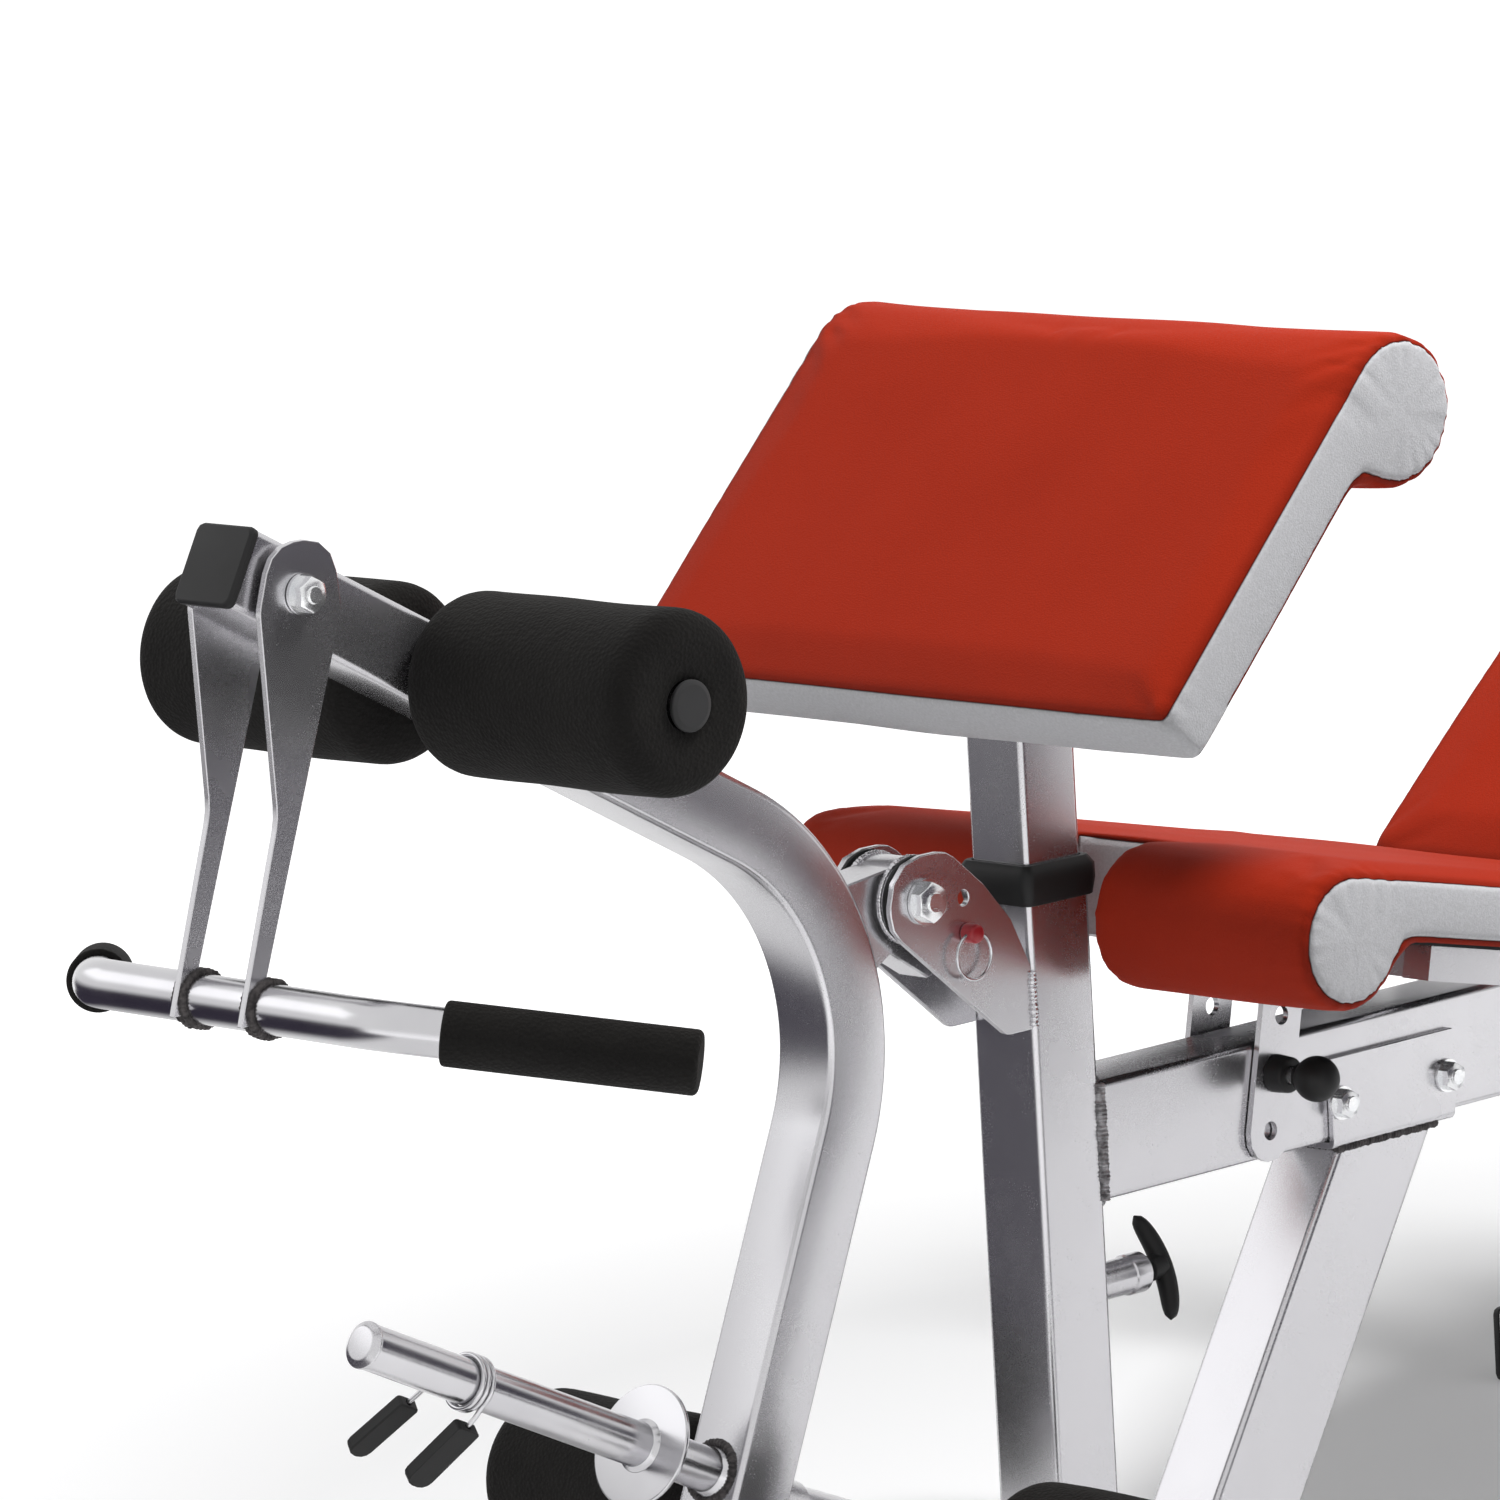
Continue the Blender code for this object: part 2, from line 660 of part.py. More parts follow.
for side, sign in (("right", 1), ("left", -1)):
    holes = [
        circle(PIVOT_Y, PIVOT_Z, PIVOT_BOLT / 2 + SLIDE),
        circle(STOP_Y, STOP_Z, STOP_D / 2 + SLIDE, 14),
        circle(STOP_Y - 0.001, STOP_Z + 0.020, 0.0042, 14),
    ]
    cheek = plate("pivot_plate_" + side, pivot_outline, PLATE, holes)
    put(cheek, SILVER, BASE, (sign * (PIVOT_INSET + PLATE / 2), 0.0, 0.0), SIDE)

pivot = bolt("pivot_bolt", PIVOT_BOLT, 2 * (PIVOT_INSET + PLATE), 0.019, 0.008, 0.026, 0.0022)
put(pivot, ZINC, BASE, (0.0, PIVOT_Y, PIVOT_Z), ALONG_X)

TUBE_HALF = PIVOT_INSET - 0.0035
BUSH_R = 0.0132
bush = turned(
    "pivot_bushing",
    [
        (EYE_R - 0.0008, PIVOT_INSET - GAP),
        (EYE_R, PIVOT_INSET - 0.001),
        (EYE_R, TUBE_HALF + GAP),
        (BUSH_R, TUBE_HALF + GAP),
        (BUSH_R, -TUBE_HALF - GAP),
        (EYE_R, -TUBE_HALF - GAP),
        (EYE_R, -PIVOT_INSET + 0.001),
        (EYE_R - 0.0008, -PIVOT_INSET + GAP),
        (PIVOT_BOLT / 2 + SLIDE, -PIVOT_INSET + GAP),
        (PIVOT_BOLT / 2 + SLIDE, PIVOT_INSET - GAP),
    ],
    steps=20,
)
put(bush, BLACK, BASE, (0.0, PIVOT_Y, PIVOT_Z), ALONG_X)

put(collar("post_collar", POST, COLLAR_DROP, COLLAR_RISE, INNER), BLACK, BASE, (0.0, 0.0, POST_TOP + GAP))

HOUSING_D = 0.024
HOUSING_LENGTH = 0.050
housing = turned(
    "post_pin_housing",
    [
        (HOUSING_D / 2 - 0.001, HOUSING_LENGTH),
        (HOUSING_D / 2, HOUSING_LENGTH - 0.001),
        (HOUSING_D / 2, HOUSING_LENGTH - 0.012),
        (HOUSING_D / 2 - 0.0012, HOUSING_LENGTH - 0.013),
        (HOUSING_D / 2 - 0.0012, 0.006),
        (HOUSING_D / 2 + 0.002, GAP),
        (PIN_D / 2 + SLIDE, GAP),
        (PIN_D / 2 + SLIDE, HOUSING_LENGTH),
    ],
    steps=20,
)
put(housing, SILVER, BASE, (0.0, POST / 2, POST_PIN_Z), ALONG_Y)

UPRIGHT_LENGTH = UPRIGHT_TOP - FOOT - GAP
BOSS = 0.022
BOSS_OUT = 0.019
for side, sign in (("right", 1), ("left", -1)):
    upright = box_tube("upright_" + side, POST, POST, straight(UPRIGHT_LENGTH))
    put(upright, SILVER, BASE, (sign * UPRIGHT_X, REAR_Y, FOOT + GAP))
    at_pin = CATCH_PIN_Z - FOOT - GAP
    boss_mid = sign * (POST / 2 + (BOSS_OUT - WALL / 2) / 2)
    boss = bore("upright_boss_" + side, BOSS, BOSS_OUT + WALL / 2, (boss_mid, 0.0, at_pin), "X", 20)
    combine(upright, boss, "UNION")
    drill_at = (boss_mid, 0.0, at_pin)
    drill = bore("upright_drill_" + side, PIN_D + 2 * SLIDE, BOSS_OUT + 5 * WALL, drill_at, "X")
    combine(upright, drill, "DIFFERENCE")
    lid = collar("upright_collar_" + side, POST, COLLAR_DROP, COLLAR_RISE, INNER)
    put(lid, BLACK, BASE, (sign * UPRIGHT_X, REAR_Y, UPRIGHT_TOP + GAP))
CROSSBAR_HALF = UPRIGHT_X - POST / 2 - GAP
crossbar = box_tube("upright_crossbar", FOOT, FOOT, straight(2 * CROSSBAR_HALF, -CROSSBAR_HALF))
put(crossbar, SILVER, BASE, (0.0, REAR_Y, CROSSBAR_Z), ALONG_X)

# Hinge that the seat and the backrest share, on top of the beam
HINGE_BOLT = 0.010
EAR_R = 0.0125
BRACKET_EAR_X = 0.014
SEAT_EAR_X = 0.0185
BACK_EAR_X = 0.026
BEAM_TOP = BEAM_Z + BEAM_H / 2
beam_frame = Matrix.Translation((0.0, BEAM_START, BEAM_Z)) @ ALONG_Y.to_4x4()
EAR_FOOT = BEAM_TOP - HINGE_Z - WALL / 2
for sign in (1, -1):
    ear_outline = rounded(
        [
            (-0.030, EAR_FOOT, 0.0),
            (0.014, EAR_FOOT, 0.0),
            (0.0125, EAR_R, 0.010),
            (-0.0125, EAR_R, 0.010),
        ]
    )
    ear = plate("hinge_ear", ear_outline, PLATE, [circle(0.0, 0.0, HINGE_BOLT / 2 + SLIDE, 16)])
    ear.data.transform(SIDE.to_4x4())
    ear.data.transform(Matrix.Translation((sign * (BRACKET_EAR_X + PLATE / 2 - 0.0005), HINGE_Y, HINGE_Z)))
    combine(beam, ear, "UNION", beam_frame)
hinge_grip = 2 * (BACK_EAR_X + PLATE)
hinge_bolt = bolt("hinge_bolt", HINGE_BOLT, hinge_grip, 0.017, 0.007, 0.022)
put(hinge_bolt, ZINC, BASE, (0.0, HINGE_Y, HINGE_Z), ALONG_X)

# Arm pad: the pad, and the inner post that slides in the front post
ARM_PAD = body("arm_pad_height", 0.0, POST_PIN_Z)
face_up = Vector((0.0, math.cos(PAD_ANGLE), math.sin(PAD_ANGLE)))
face_out = Vector((0.0, -math.sin(PAD_ANGLE), math.cos(PAD_ANGLE)))
pad_low = yz(PAD_Y, PAD_Z)
PAD_BOARD = 0.006
back_at = pad_low - face_out * (PAD_T + GAP + PAD_BOARD)
pad_slope = math.tan(PAD_ANGLE)
inner_top = back_at.z - back_at.y * pad_slope
INNER_LOW = PAD_POST_LOW - PAD_POST_TAIL
inner_post = box_tube("arm_pad_post", INNER, INNER, straight(inner_top - INNER_LOW, 0.0, 0.0, pad_slope))
put(inner_post, SILVER, ARM_PAD, (0.0, 0.0, INNER_LOW))
carrier_plate = plate(
    "arm_pad_carrier",
    rounded(
        [
            (-PAD_PLATE_HALF, -PAD_PLATE_DOWN, PAD_PLATE_CORNER),
            (PAD_PLATE_HALF, -PAD_PLATE_DOWN, PAD_PLATE_CORNER),
            (PAD_PLATE_HALF, PAD_PLATE_HALF, PAD_PLATE_CORNER),
            (-PAD_PLATE_HALF, PAD_PLATE_HALF, PAD_PLATE_CORNER),
        ]
    ),
    PAD_BOARD,
)
carrier_plate.rotation_euler = tilt(PAD_ANGLE).to_euler()
carrier_plate.location = (0.0, 0.0, inner_top - INNER_LOW + PAD_BOARD / 2 / math.cos(PAD_ANGLE) - 0.0003)
combine(inner_post, carrier_plate, "UNION")
for k in range(-1, 5):
    step_at = (0.0, INNER / 2, POST_PIN_Z - k * PAD_STEP - INNER_LOW)
    step = bore("post_step_%d" % (k + 1), PIN_D + 2 * SLIDE, 4 * WALL, step_at, "Y", 12)
    combine(inner_post, step, "DIFFERENCE")
pad_outline = roll_outline(PAD_LENGTH, PAD_T, PAD_R, PAD_RIM)
arm_pad = cushion("arm_pad", pad_outline, PAD_HALF, 0.0015, 0.009, -PAD_T)
down_face = Matrix((Vector((-1.0, 0.0, 0.0)), -face_up, face_out)).transposed()
put(arm_pad, VINYL, ARM_PAD, pad_low + face_up * PAD_LENGTH, down_face, True)

# Pull pin of the arm pad, drawn just clear of the inner post
POST_PIN = body("arm_pad_pin", INNER / 2, POST_PIN_Z)
PIN_OUT = HOUSING_LENGTH + POST / 2 + 0.013
pin = turned(
    "post_pin",
    [
        (0.0, PIN_OUT - INNER / 2 + 0.004),
        (PIN_D / 2 - 0.0007, PIN_OUT - INNER / 2 + 0.004),
        (PIN_D / 2, PIN_OUT - INNER / 2 + 0.003),
        (PIN_D / 2, 0.0015),
        (PIN_D / 2 - 0.001, GAP),
        (0.0, GAP),
    ],
    steps=16,
)
put(pin, ZINC, POST_PIN, (0.0, INNER / 2, POST_PIN_Z), ALONG_Y)
HANDLE_HALF = 0.028
HANDLE_TURN = math.radians(24.0)
handle_line = []
for k in range(9):
    share = -1.0 + k / 4
    handle_line.append((share * HANDLE_HALF, 0.0, PIN_OUT + 0.006 - INNER / 2 - 0.008 * share * share))
handle = wire("post_pin_handle", handle_line, 0.0115, False, 3)
HUB_D = 0.018
HUB_SINK = 0.0043
hub_mid = PIN_OUT - INNER / 2 + 0.003
combine(handle, bore("handle_hub", HUB_D, HUB_D, (0.0, 0.0, hub_mid), "Z"), "UNION")
socket_mid = PIN_OUT - INNER / 2 + HUB_SINK - HUB_D / 2 - 0.001
socket = bore("handle_socket", PIN_D + 2 * SLIDE, HUB_D + 0.002, (0.0, 0.0, socket_mid), "Z")
combine(handle, socket, "DIFFERENCE")
handle_spin = ALONG_Y @ Matrix.Rotation(math.pi / 2 - HANDLE_TURN, 3, "Z")
put(handle, BLACK, POST_PIN, (0.0, INNER / 2, POST_PIN_Z), handle_spin, True)


# Leg lever: one bent tube with the pivot tube, its gusset, the stop tab and the roller carrier welded on
LEVER = body("lever_swing", PIVOT_Y, PIVOT_Z)
pivot_at = yz(PIVOT_Y, PIVOT_Z)
to_end = Vector((0.0, -math.cos(ARM_RISE), math.sin(ARM_RISE)))
to_foot = Vector((0.0, -math.sin(ARM_LEAN), -math.cos(ARM_LEAN)))
arm_under = Vector((0.0, -math.sin(ARM_RISE), -math.cos(ARM_RISE)))
arm_back = Vector((0.0, math.cos(ARM_LEAN), -math.sin(ARM_LEAN)))
meet = yz(BEND_Y, BEND_Z)
turn_half = (math.pi - to_end.angle(to_foot)) / 2
tangent = ARM_BEND * math.tan(turn_half)
bend_centre = meet + (to_end + to_foot).normalized() * (ARM_BEND / math.cos(turn_half))
right = Vector((1.0, 0.0, 0.0))


def station(at, along, origin):
    """Section across a path in the YZ plane, measured from the piece's own origin."""
    across = along.cross(right)
    frame = Matrix((right, across, along)).transposed().to_4x4()
    return Matrix.Translation(at - origin) @ frame


ARM_STEPS = 9
arm_foot = meet + to_foot * ARM_DROP
arm_end = meet + to_end * ARM_LENGTH
stations = [station(arm_foot, -to_foot, pivot_at)]
spoke = meet + to_foot * tangent - bend_centre
for k in range(ARM_STEPS + 1):
    turn = Matrix.Rotation(2 * turn_half * k / ARM_STEPS, 3, "X")
    stations.append(station(bend_centre + turn @ spoke, turn @ -to_foot, pivot_at))
stations.append(station(arm_end, to_end, pivot_at))
lever = box_tube("lever_arm", ARM, ARM, stations)
put(lever, SILVER, LEVER, pivot_at)

EMBED = 0.0012
reach_back = ARM_BEND + ARM / 2 - EMBED
toward = pivot_at - bend_centre
middle = math.degrees(math.atan2(toward.z, toward.y))
local_centre = (bend_centre.y - PIVOT_Y, bend_centre.z - PIVOT_Z)
gusset_outline = arc(local_centre, reach_back, middle - 9.0, middle + 11.0, 6)
gusset_outline = gusset_outline + [(-0.006, 0.021), (0.0, 0.0), (-0.004, -0.021)]
gusset = plate("lever_gusset", gusset_outline, 0.028)
gusset.data.transform(SIDE.to_4x4())
combine(lever, gusset, "UNION")
sleeve = bore("lever_pivot_tube", PIVOT_TUBE, 2 * TUBE_HALF, (0.0, 0.0, 0.0), "X", 22)
combine(lever, sleeve, "UNION")
to_stop = Vector((STOP_Y - PIVOT_Y, STOP_Z - PIVOT_Z))
approach = Vector((-to_stop.y, to_stop.x)).normalized()
outward = to_stop.normalized()
face_mid = to_stop - approach * (STOP_D / 2 + SLIDE)
tab_outline = [
    (-0.020, -0.012),
    (-0.015, -0.029),
    (0.013, -0.047),
    (0.027, -0.043),
    tuple(face_mid + outward * 0.006),
    tuple(face_mid - outward * 0.006),
    (0.012, -0.012),
]
tab = plate("lever_stop_tab", tab_outline, 0.024)
tab.data.transform(SIDE.to_4x4())
combine(lever, tab, "UNION")

carrier_foot = meet + to_foot * CARRIER_DOWN
carrier_end = carrier_foot + arm_back * CARRIER_LENGTH
carrier = turned(
    "roller_carrier",
    [
        (0.0, CARRIER_LENGTH + CARRIER_D / 2),
        (CARRIER_D / 2 - 0.003, CARRIER_LENGTH + CARRIER_D / 2),
        (CARRIER_D / 2 - 0.001, CARRIER_LENGTH + CARRIER_D / 2 - 0.003),
        (CARRIER_D / 2 - 0.001, ARM / 2 + 0.020),
        (CARRIER_D / 2 + 0.001, ARM / 2 + 0.019),
        (CARRIER_D / 2 + 0.001, ARM / 2 - EMBED),
        (0.0, ARM / 2 - EMBED),
    ],
    steps=16,
)
carrier.location = carrier_foot - pivot_at
carrier.rotation_euler = Vector((0.0, 0.0, 1.0)).rotation_difference(arm_back).to_euler()
combine(lever, carrier, "UNION")

BAR_HOLE = ROLLER_BAR + 3 * SLIDE
roller_at = arm_end - to_end * ROLLER_AT
hanger_at = arm_end - to_end * HANGER_AT
for label, diameter, at, sides in (
    ("bush", 2 * BUSH_R + 2 * SLIDE, pivot_at, 18),
    ("upper_bar", BAR_HOLE, roller_at, 14),
    ("lower_bar", BAR_HOLE, carrier_end, 14),
    ("hanger", BOLT_SHANK + 2 * SLIDE, hanger_at, 12),
):
    combine(lever, bore(label + "_hole", diameter, 2 * ARM, at - pivot_at, "X", sides), "DIFFERENCE")

for label, at, along in (("top", arm_end, to_end), ("bottom", arm_foot, to_foot)):
    cap = end_plug("lever_cap_" + label, ARM + 0.001, ARM + 0.001, 0.005, 0.016, WALL + 0.0005)
    put(cap, BLACK, LEVER, at + along * GAP, station(at, along, at).to_3x3())

# Weight peg with its stop disc, raised a little from square to the lever so that plates stay on
peg_foot = meet + to_foot * PEG_DOWN - arm_back * (ARM / 2 + GAP)
peg_way = tilt(-PEG_RISE) @ -arm_back
peg_turn = station(peg_foot, peg_way, peg_foot).to_3x3()
peg_r = PEG_D / 2
stop_r = PEG_STOP_D / 2
PEG_BORE = 0.0100
PEG_MITRE = 0.003
peg = turned(
    "weight_peg",
    [
        (peg_r - 0.0005, PEG_LENGTH),
        (peg_r, PEG_LENGTH - 0.0005),
        (peg_r, PEG_STOP_AT + 0.004),
        (peg_r + 0.0025, PEG_STOP_AT + 0.0015),
        (stop_r - 0.0006, PEG_STOP_AT + 0.0015),
        (stop_r, PEG_STOP_AT + 0.0008),
        (stop_r, PEG_STOP_AT - 0.0008),
        (stop_r - 0.0006, PEG_STOP_AT - 0.0015),
        (peg_r, PEG_STOP_AT - 0.0015),
        (peg_r, 0.005),
        (peg_r + 0.004, 0.001),
        (peg_r + 0.004, -PEG_MITRE),
        (0.0, -PEG_MITRE),
        (0.0, PEG_STOP_AT),
        (PEG_BORE, PEG_STOP_AT),
        (PEG_BORE, PEG_LENGTH),
    ],
    steps=20,
)
face_cut = box("peg_face_cut", (0.05, 0.05, 0.02), (0.0, 0.0, -0.01))
face_cut.data.transform(tilt(PEG_RISE).to_4x4())
combine(peg, face_cut, "DIFFERENCE")
put(peg, CHROME, LEVER, peg_foot, peg_turn)
peg_cap = turned(
    "peg_cap",
    [
        (0.0, 0.0050),
        (peg_r * 0.55, 0.0046),
        (peg_r * 0.88, 0.0032),
        (peg_r + 0.0006, 0.0010),
        (peg_r + 0.0006, GAP),
        (PEG_BORE - SLIDE, GAP),
        (PEG_BORE - SLIDE, -0.015),
        (0.0, -0.015),
    ],
    steps=20,
)
put(peg_cap, SILVER, LEVER, peg_foot + peg_way * PEG_LENGTH, peg_turn)

hanger_grip = 2 * (HANGER_X + PLATE + GAP)
hanger_bolt = bolt("hanger_bolt", BOLT_SHANK, hanger_grip, 0.017, 0.0075, 0.022, 0.002)
put(hanger_bolt, ZINC, LEVER, hanger_at, ALONG_X)


# Foam rollers, each pair turning with its bar
def roller_bar(name, reach):
    plug_r = 0.014
    bar = ROLLER_BAR / 2
    return turned(
        name,
        [
            (0.0, reach),
            (plug_r - 0.0015, reach),
            (plug_r, reach - 0.0012),
            (plug_r, reach - 0.003),
            (bar, reach - 0.003),
            (bar, -reach + 0.003),
            (plug_r, -reach + 0.003),
            (plug_r, -reach + 0.0012),
            (plug_r - 0.0015, -reach),
            (0.0, -reach),
        ],
        steps=16,
    )


def foam_roller(name, length):
    """Foam sleeve from z = 0, with softened rims."""
    radius = FOAM_D / 2
    hole = ROLLER_BAR / 2 + GAP
    rim = ((0.000, 0.018), (0.0025, 0.009), (0.009, 0.0025), (0.018, 0.0))
    top = [(radius - drop, length - back) for back, drop in rim]
    low = [(radius - drop, back) for back, drop in reversed(rim)]
    return turned(name, [*top, *low, (hole, 0.0), (hole, length)], steps=18)


for label, at, near, far in (
    ("upper", roller_at, UPPER_FOAM_IN, UPPER_FOAM_OUT),
    ("lower", carrier_end, LOWER_FOAM_IN, LOWER_FOAM_OUT),
):
    spin = body(label + "_roller_spin", at.y, at.z, 0.0, LEVER)
    put(roller_bar(label + "_roller_bar", far), CHROME, spin, at, ALONG_X)
    for side, sign in (("right", 1), ("left", -1)):
        foam = foam_roller(label + "_foam_" + side, far - near - 0.003 - GAP)
        put(foam, FOAM, spin, at + right * sign * near, Matrix.Rotation(sign * math.pi / 2, 3, "Y"))

# Curl bar on its two hangers, free to swing about the hanger bolt
CURL = body("curl_bar_swing", hanger_at.y, hanger_at.z, 0.0, LEVER)
bar_r = CURL_D / 2
strip_y = -CURL_REACH - bar_r - 0.0012
strip_z = -CURL_DROP - bar_r / 2
hanger_outline = rounded(
    [
        (-EYE_R * 0.7, EYE_R + 0.002, EYE_R * 0.8),
        (EYE_R * 0.9, EYE_R + 0.002, EYE_R * 0.8),
        (EYE_R + 0.001, -0.012, 0.020),
        (HANGER_KINK_Y + HANGER_WAIST, HANGER_KINK_Z, 0.040),
        (strip_y + HANGER_TIP, strip_z, 0.0),
        (strip_y - HANGER_TIP, strip_z, 0.0),
        (HANGER_KINK_Y - HANGER_WAIST, HANGER_KINK_Z, 0.040),
        (-EYE_R - 0.003, -0.006, 0.020),
    ]
)
HANGER_HOLE = BOLT_SHANK / 2 + SLIDE
for side, sign in (("right", 1), ("left", -1)):
    strap = plate("hanger_" + side, hanger_outline, PLATE, [circle(0.0, 0.0, HANGER_HOLE, 16)])
    strap.data.transform(SIDE.to_4x4())
    put(strap, SILVER, CURL, hanger_at + right * sign * (HANGER_X + PLATE / 2))
    saddle = bore("hanger_saddle_" + side, CURL_D + 2 * GAP, 0.02, (0.0, -CURL_REACH, -CURL_DROP), "X", 28)
    combine(strap, saddle, "DIFFERENCE")

swept = Vector((0.0, math.cos(CURL_TILT), -math.sin(CURL_TILT)))
grip_way = right * math.cos(CURL_SWEEP) + swept * math.sin(CURL_SWEEP)
inner_bend = CURL_BEND * math.tan(CURL_SWEEP / 2)
bar_end = GRIP_START + GRIP_LENGTH - 0.008
half_line = []
for k in range(7):
    angle = CURL_SWEEP * k / 6
    along_x = CURL_HALF - inner_bend + CURL_BEND * math.sin(angle)
    half_line.append(right * along_x + swept * (CURL_BEND * (1 - math.cos(angle))))
half_line.append(right * CURL_HALF + grip_way * bar_end)
flip = Matrix.Scale(-1.0, 3, right)
line = [flip @ p for p in reversed(half_line)] + half_line
bar_at = hanger_at + yz(-CURL_REACH, -CURL_DROP)
curl_bar = wire("curl_bar", line, CURL_D, False, 4)
put(curl_bar, CHROME, CURL, bar_at, None, True)
for side, sign in (("right", 1), ("left", -1)):
    radius = GRIP_D / 2
    grip = turned(
        "curl_grip_" + side,
        [
            (0.0, GRIP_LENGTH),
            (radius - 0.005, GRIP_LENGTH),
            (radius - 0.0015, GRIP_LENGTH - 0.0015),
            (radius, GRIP_LENGTH - 0.005),
            (radius, 0.0012),
            (radius - 0.0012, 0.0),
            (bar_r + GAP, 0.0),
            (bar_r + GAP, GRIP_LENGTH - 0.007),
            (0.0, GRIP_LENGTH - 0.007),
        ],
        steps=16,
    )
    way = Vector((sign * grip_way.x, grip_way.y, grip_way.z))
    start = bar_at + right * sign * CURL_HALF + way * GRIP_START
    put(grip, FOAM, CURL, start, Vector((0.0, 0.0, 1.0)).rotation_difference(way).to_matrix())

# Spring clip that holds plates on the peg: a coil whose legs end in grips
CLIP_AT = 0.194
CLIP_WIRE = 0.0030
CLIP_PITCH = 0.0037
CLIP_TURNS = 2.5
CLIP_POINTS = 23
clip_step = 2 * math.pi * CLIP_TURNS / (CLIP_POINTS - 1)
clip_r = (peg_r + 0.0004 + CLIP_WIRE / 2) / math.cos(clip_step / 2)
clip_at = peg_foot + peg_way * CLIP_AT
CLIP = body("clip_slide", clip_at.y, clip_at.z, 0.0, LEVER)
leave = math.radians(136.3)
clip_rise = CLIP_PITCH * CLIP_TURNS / 2
clip_line = [Vector((-0.0600, -0.0400, clip_rise)), Vector((-0.0346, -0.0149, clip_rise))]
for k in range(CLIP_POINTS):
    share = k / (CLIP_POINTS - 1)
    angle = leave - k * clip_step
    height = CLIP_PITCH * CLIP_TURNS * (0.5 - share)
    clip_line.append(Vector((clip_r * math.cos(angle), clip_r * math.sin(angle), height)))
clip_line.append(Vector((0.0060, -0.0205, -clip_rise)))
clip_line.append(Vector((-0.0180, -0.0480, -clip_rise)))
fine = [a.lerp(b, k / 8) for a, b in zip(clip_line, clip_line[1:]) for k in range(8)]
least = min((a - b).length for i, a in enumerate(fine) for b in fine[i + 45 :])
print("spring clip: least gap to itself %.2f mm" % ((least - CLIP_WIRE) * 1000))
put(wire("clip_spring", clip_line, CLIP_WIRE, False, 1), CHROME, CLIP, clip_at, peg_turn, True)
CLIP_GRIP_T = 0.0075
for label, a, b, width in (
    ("outer", clip_line[1], clip_line[0], 0.014),
    ("inner", clip_line[-2], clip_line[-1], 0.016),
):
    way = (b - a).normalized()
    length = (b - a).length + 0.010
    half = width / 2
    tab_corners = [(-half, 0.0, 0.002), (half, 0.0, 0.002), (half, length, 0.006), (-half, length, 0.006)]
    tab_shape = rounded(tab_corners)
    lug = plate("clip_grip_" + label, tab_shape, CLIP_GRIP_T)
    up = Vector((0.0, 0.0, 1.0))
    frame = Matrix((up, way, up.cross(way))).transposed()
    start = a + way * 0.003
    lug.data.transform(Matrix.Translation(start) @ frame.to_4x4())
    put(lug, BLACK, CLIP, clip_at, peg_turn)
    deep = (b - a).length + 0.006
    socket = bore("clip_socket_" + label, CLIP_WIRE + 2 * GAP, deep, (0.0, 0.0, 0.0), "Z", 12)
    socket.data.transform(up.rotation_difference(way).to_matrix().to_4x4())
    socket.data.transform(Matrix.Translation((a + b) / 2 - way * 0.001))
    combine(lug, socket, "DIFFERENCE")


# Seat, in its own frame: the hinge is the origin and +Y runs to the head end, parallel with the top face
SEAT = body("seat_tilt", HINGE_Y, HINGE_Z)
SEAT.rotation_euler = tilt(-SEAT_TILT).to_euler()
SEAT["at"] = (0.0, 0.0, 0.0)
SEAT_START = SEAT_LENGTH + SEAT_HINGE_GAP
seat_under = SEAT_RISE - SEAT_T
seat_outline = roll_outline(SEAT_LENGTH, SEAT_T, SEAT_R, SEAT_RIM)
seat = cushion("seat_pad", seat_outline, SEAT_HALF, 0.0015, 0.009, -SEAT_T, 11)
put(seat, VINYL, SEAT, (0.0, -SEAT_START, SEAT_RISE), None, True)
notch_depth = 2 * SEAT_LENGTH
notch_at = (0.0, SEAT_START - NOTCH_TO_HINGE - notch_depth / 2, 0.0)
notch = box("seat_notch", (2 * NOTCH_HALF, notch_depth, 2 * SEAT_LENGTH), notch_at)
combine(seat, notch, "DIFFERENCE")

rail_top = seat_under - GAP
rail_mid = rail_top - RAIL / 2
SEAT_FRONT_TIE = 0.2605
SEAT_REAR_TIE = 0.150
RAIL_FRONT = SEAT_FRONT_TIE + RAIL / 2 + 0.012
RAIL_BACK = 0.052
tie = box("seat_frame", (2 * SEAT_RAIL_X + RAIL, RAIL, RAIL), (0.0, -SEAT_FRONT_TIE, rail_mid))
put(tie, SILVER, SEAT, (0.0, 0.0, 0.0))
combine(tie, box("seat_rear_tie", (2 * SEAT_RAIL_X, RAIL, RAIL), (0.0, -SEAT_REAR_TIE, rail_mid)), "UNION")
for sign in (1, -1):
    run = RAIL_FRONT - RAIL_BACK
    rail = box("seat_rail", (RAIL, run, RAIL), (sign * SEAT_RAIL_X, -RAIL_BACK - run / 2, rail_mid))
    combine(tie, rail, "UNION")
    ear = plate(
        "seat_hinge_ear",
        rounded(
            [
                (-SEAT_REAR_TIE - 0.006, rail_top - 0.002, 0.0),
                (-SEAT_REAR_TIE - 0.006, rail_mid - 0.008, 0.0),
                (-0.020, -EAR_R * 0.9, 0.02),
                (EAR_R, -EAR_R * 0.9, 0.010),
                (EAR_R, EAR_R, 0.012),
                (-EAR_R, EAR_R, 0.006),
                (SEAT_LENGTH - SEAT_START + 0.006, rail_top - 0.002, 0.006),
            ]
        ),
        PLATE,
        [circle(0.0, 0.0, HINGE_BOLT / 2 + SLIDE, 16)],
    )
    ear.data.transform(SIDE.to_4x4())
    ear.location = (sign * (SEAT_EAR_X + PLATE / 2), 0.0, 0.0)
    combine(tie, ear, "UNION")

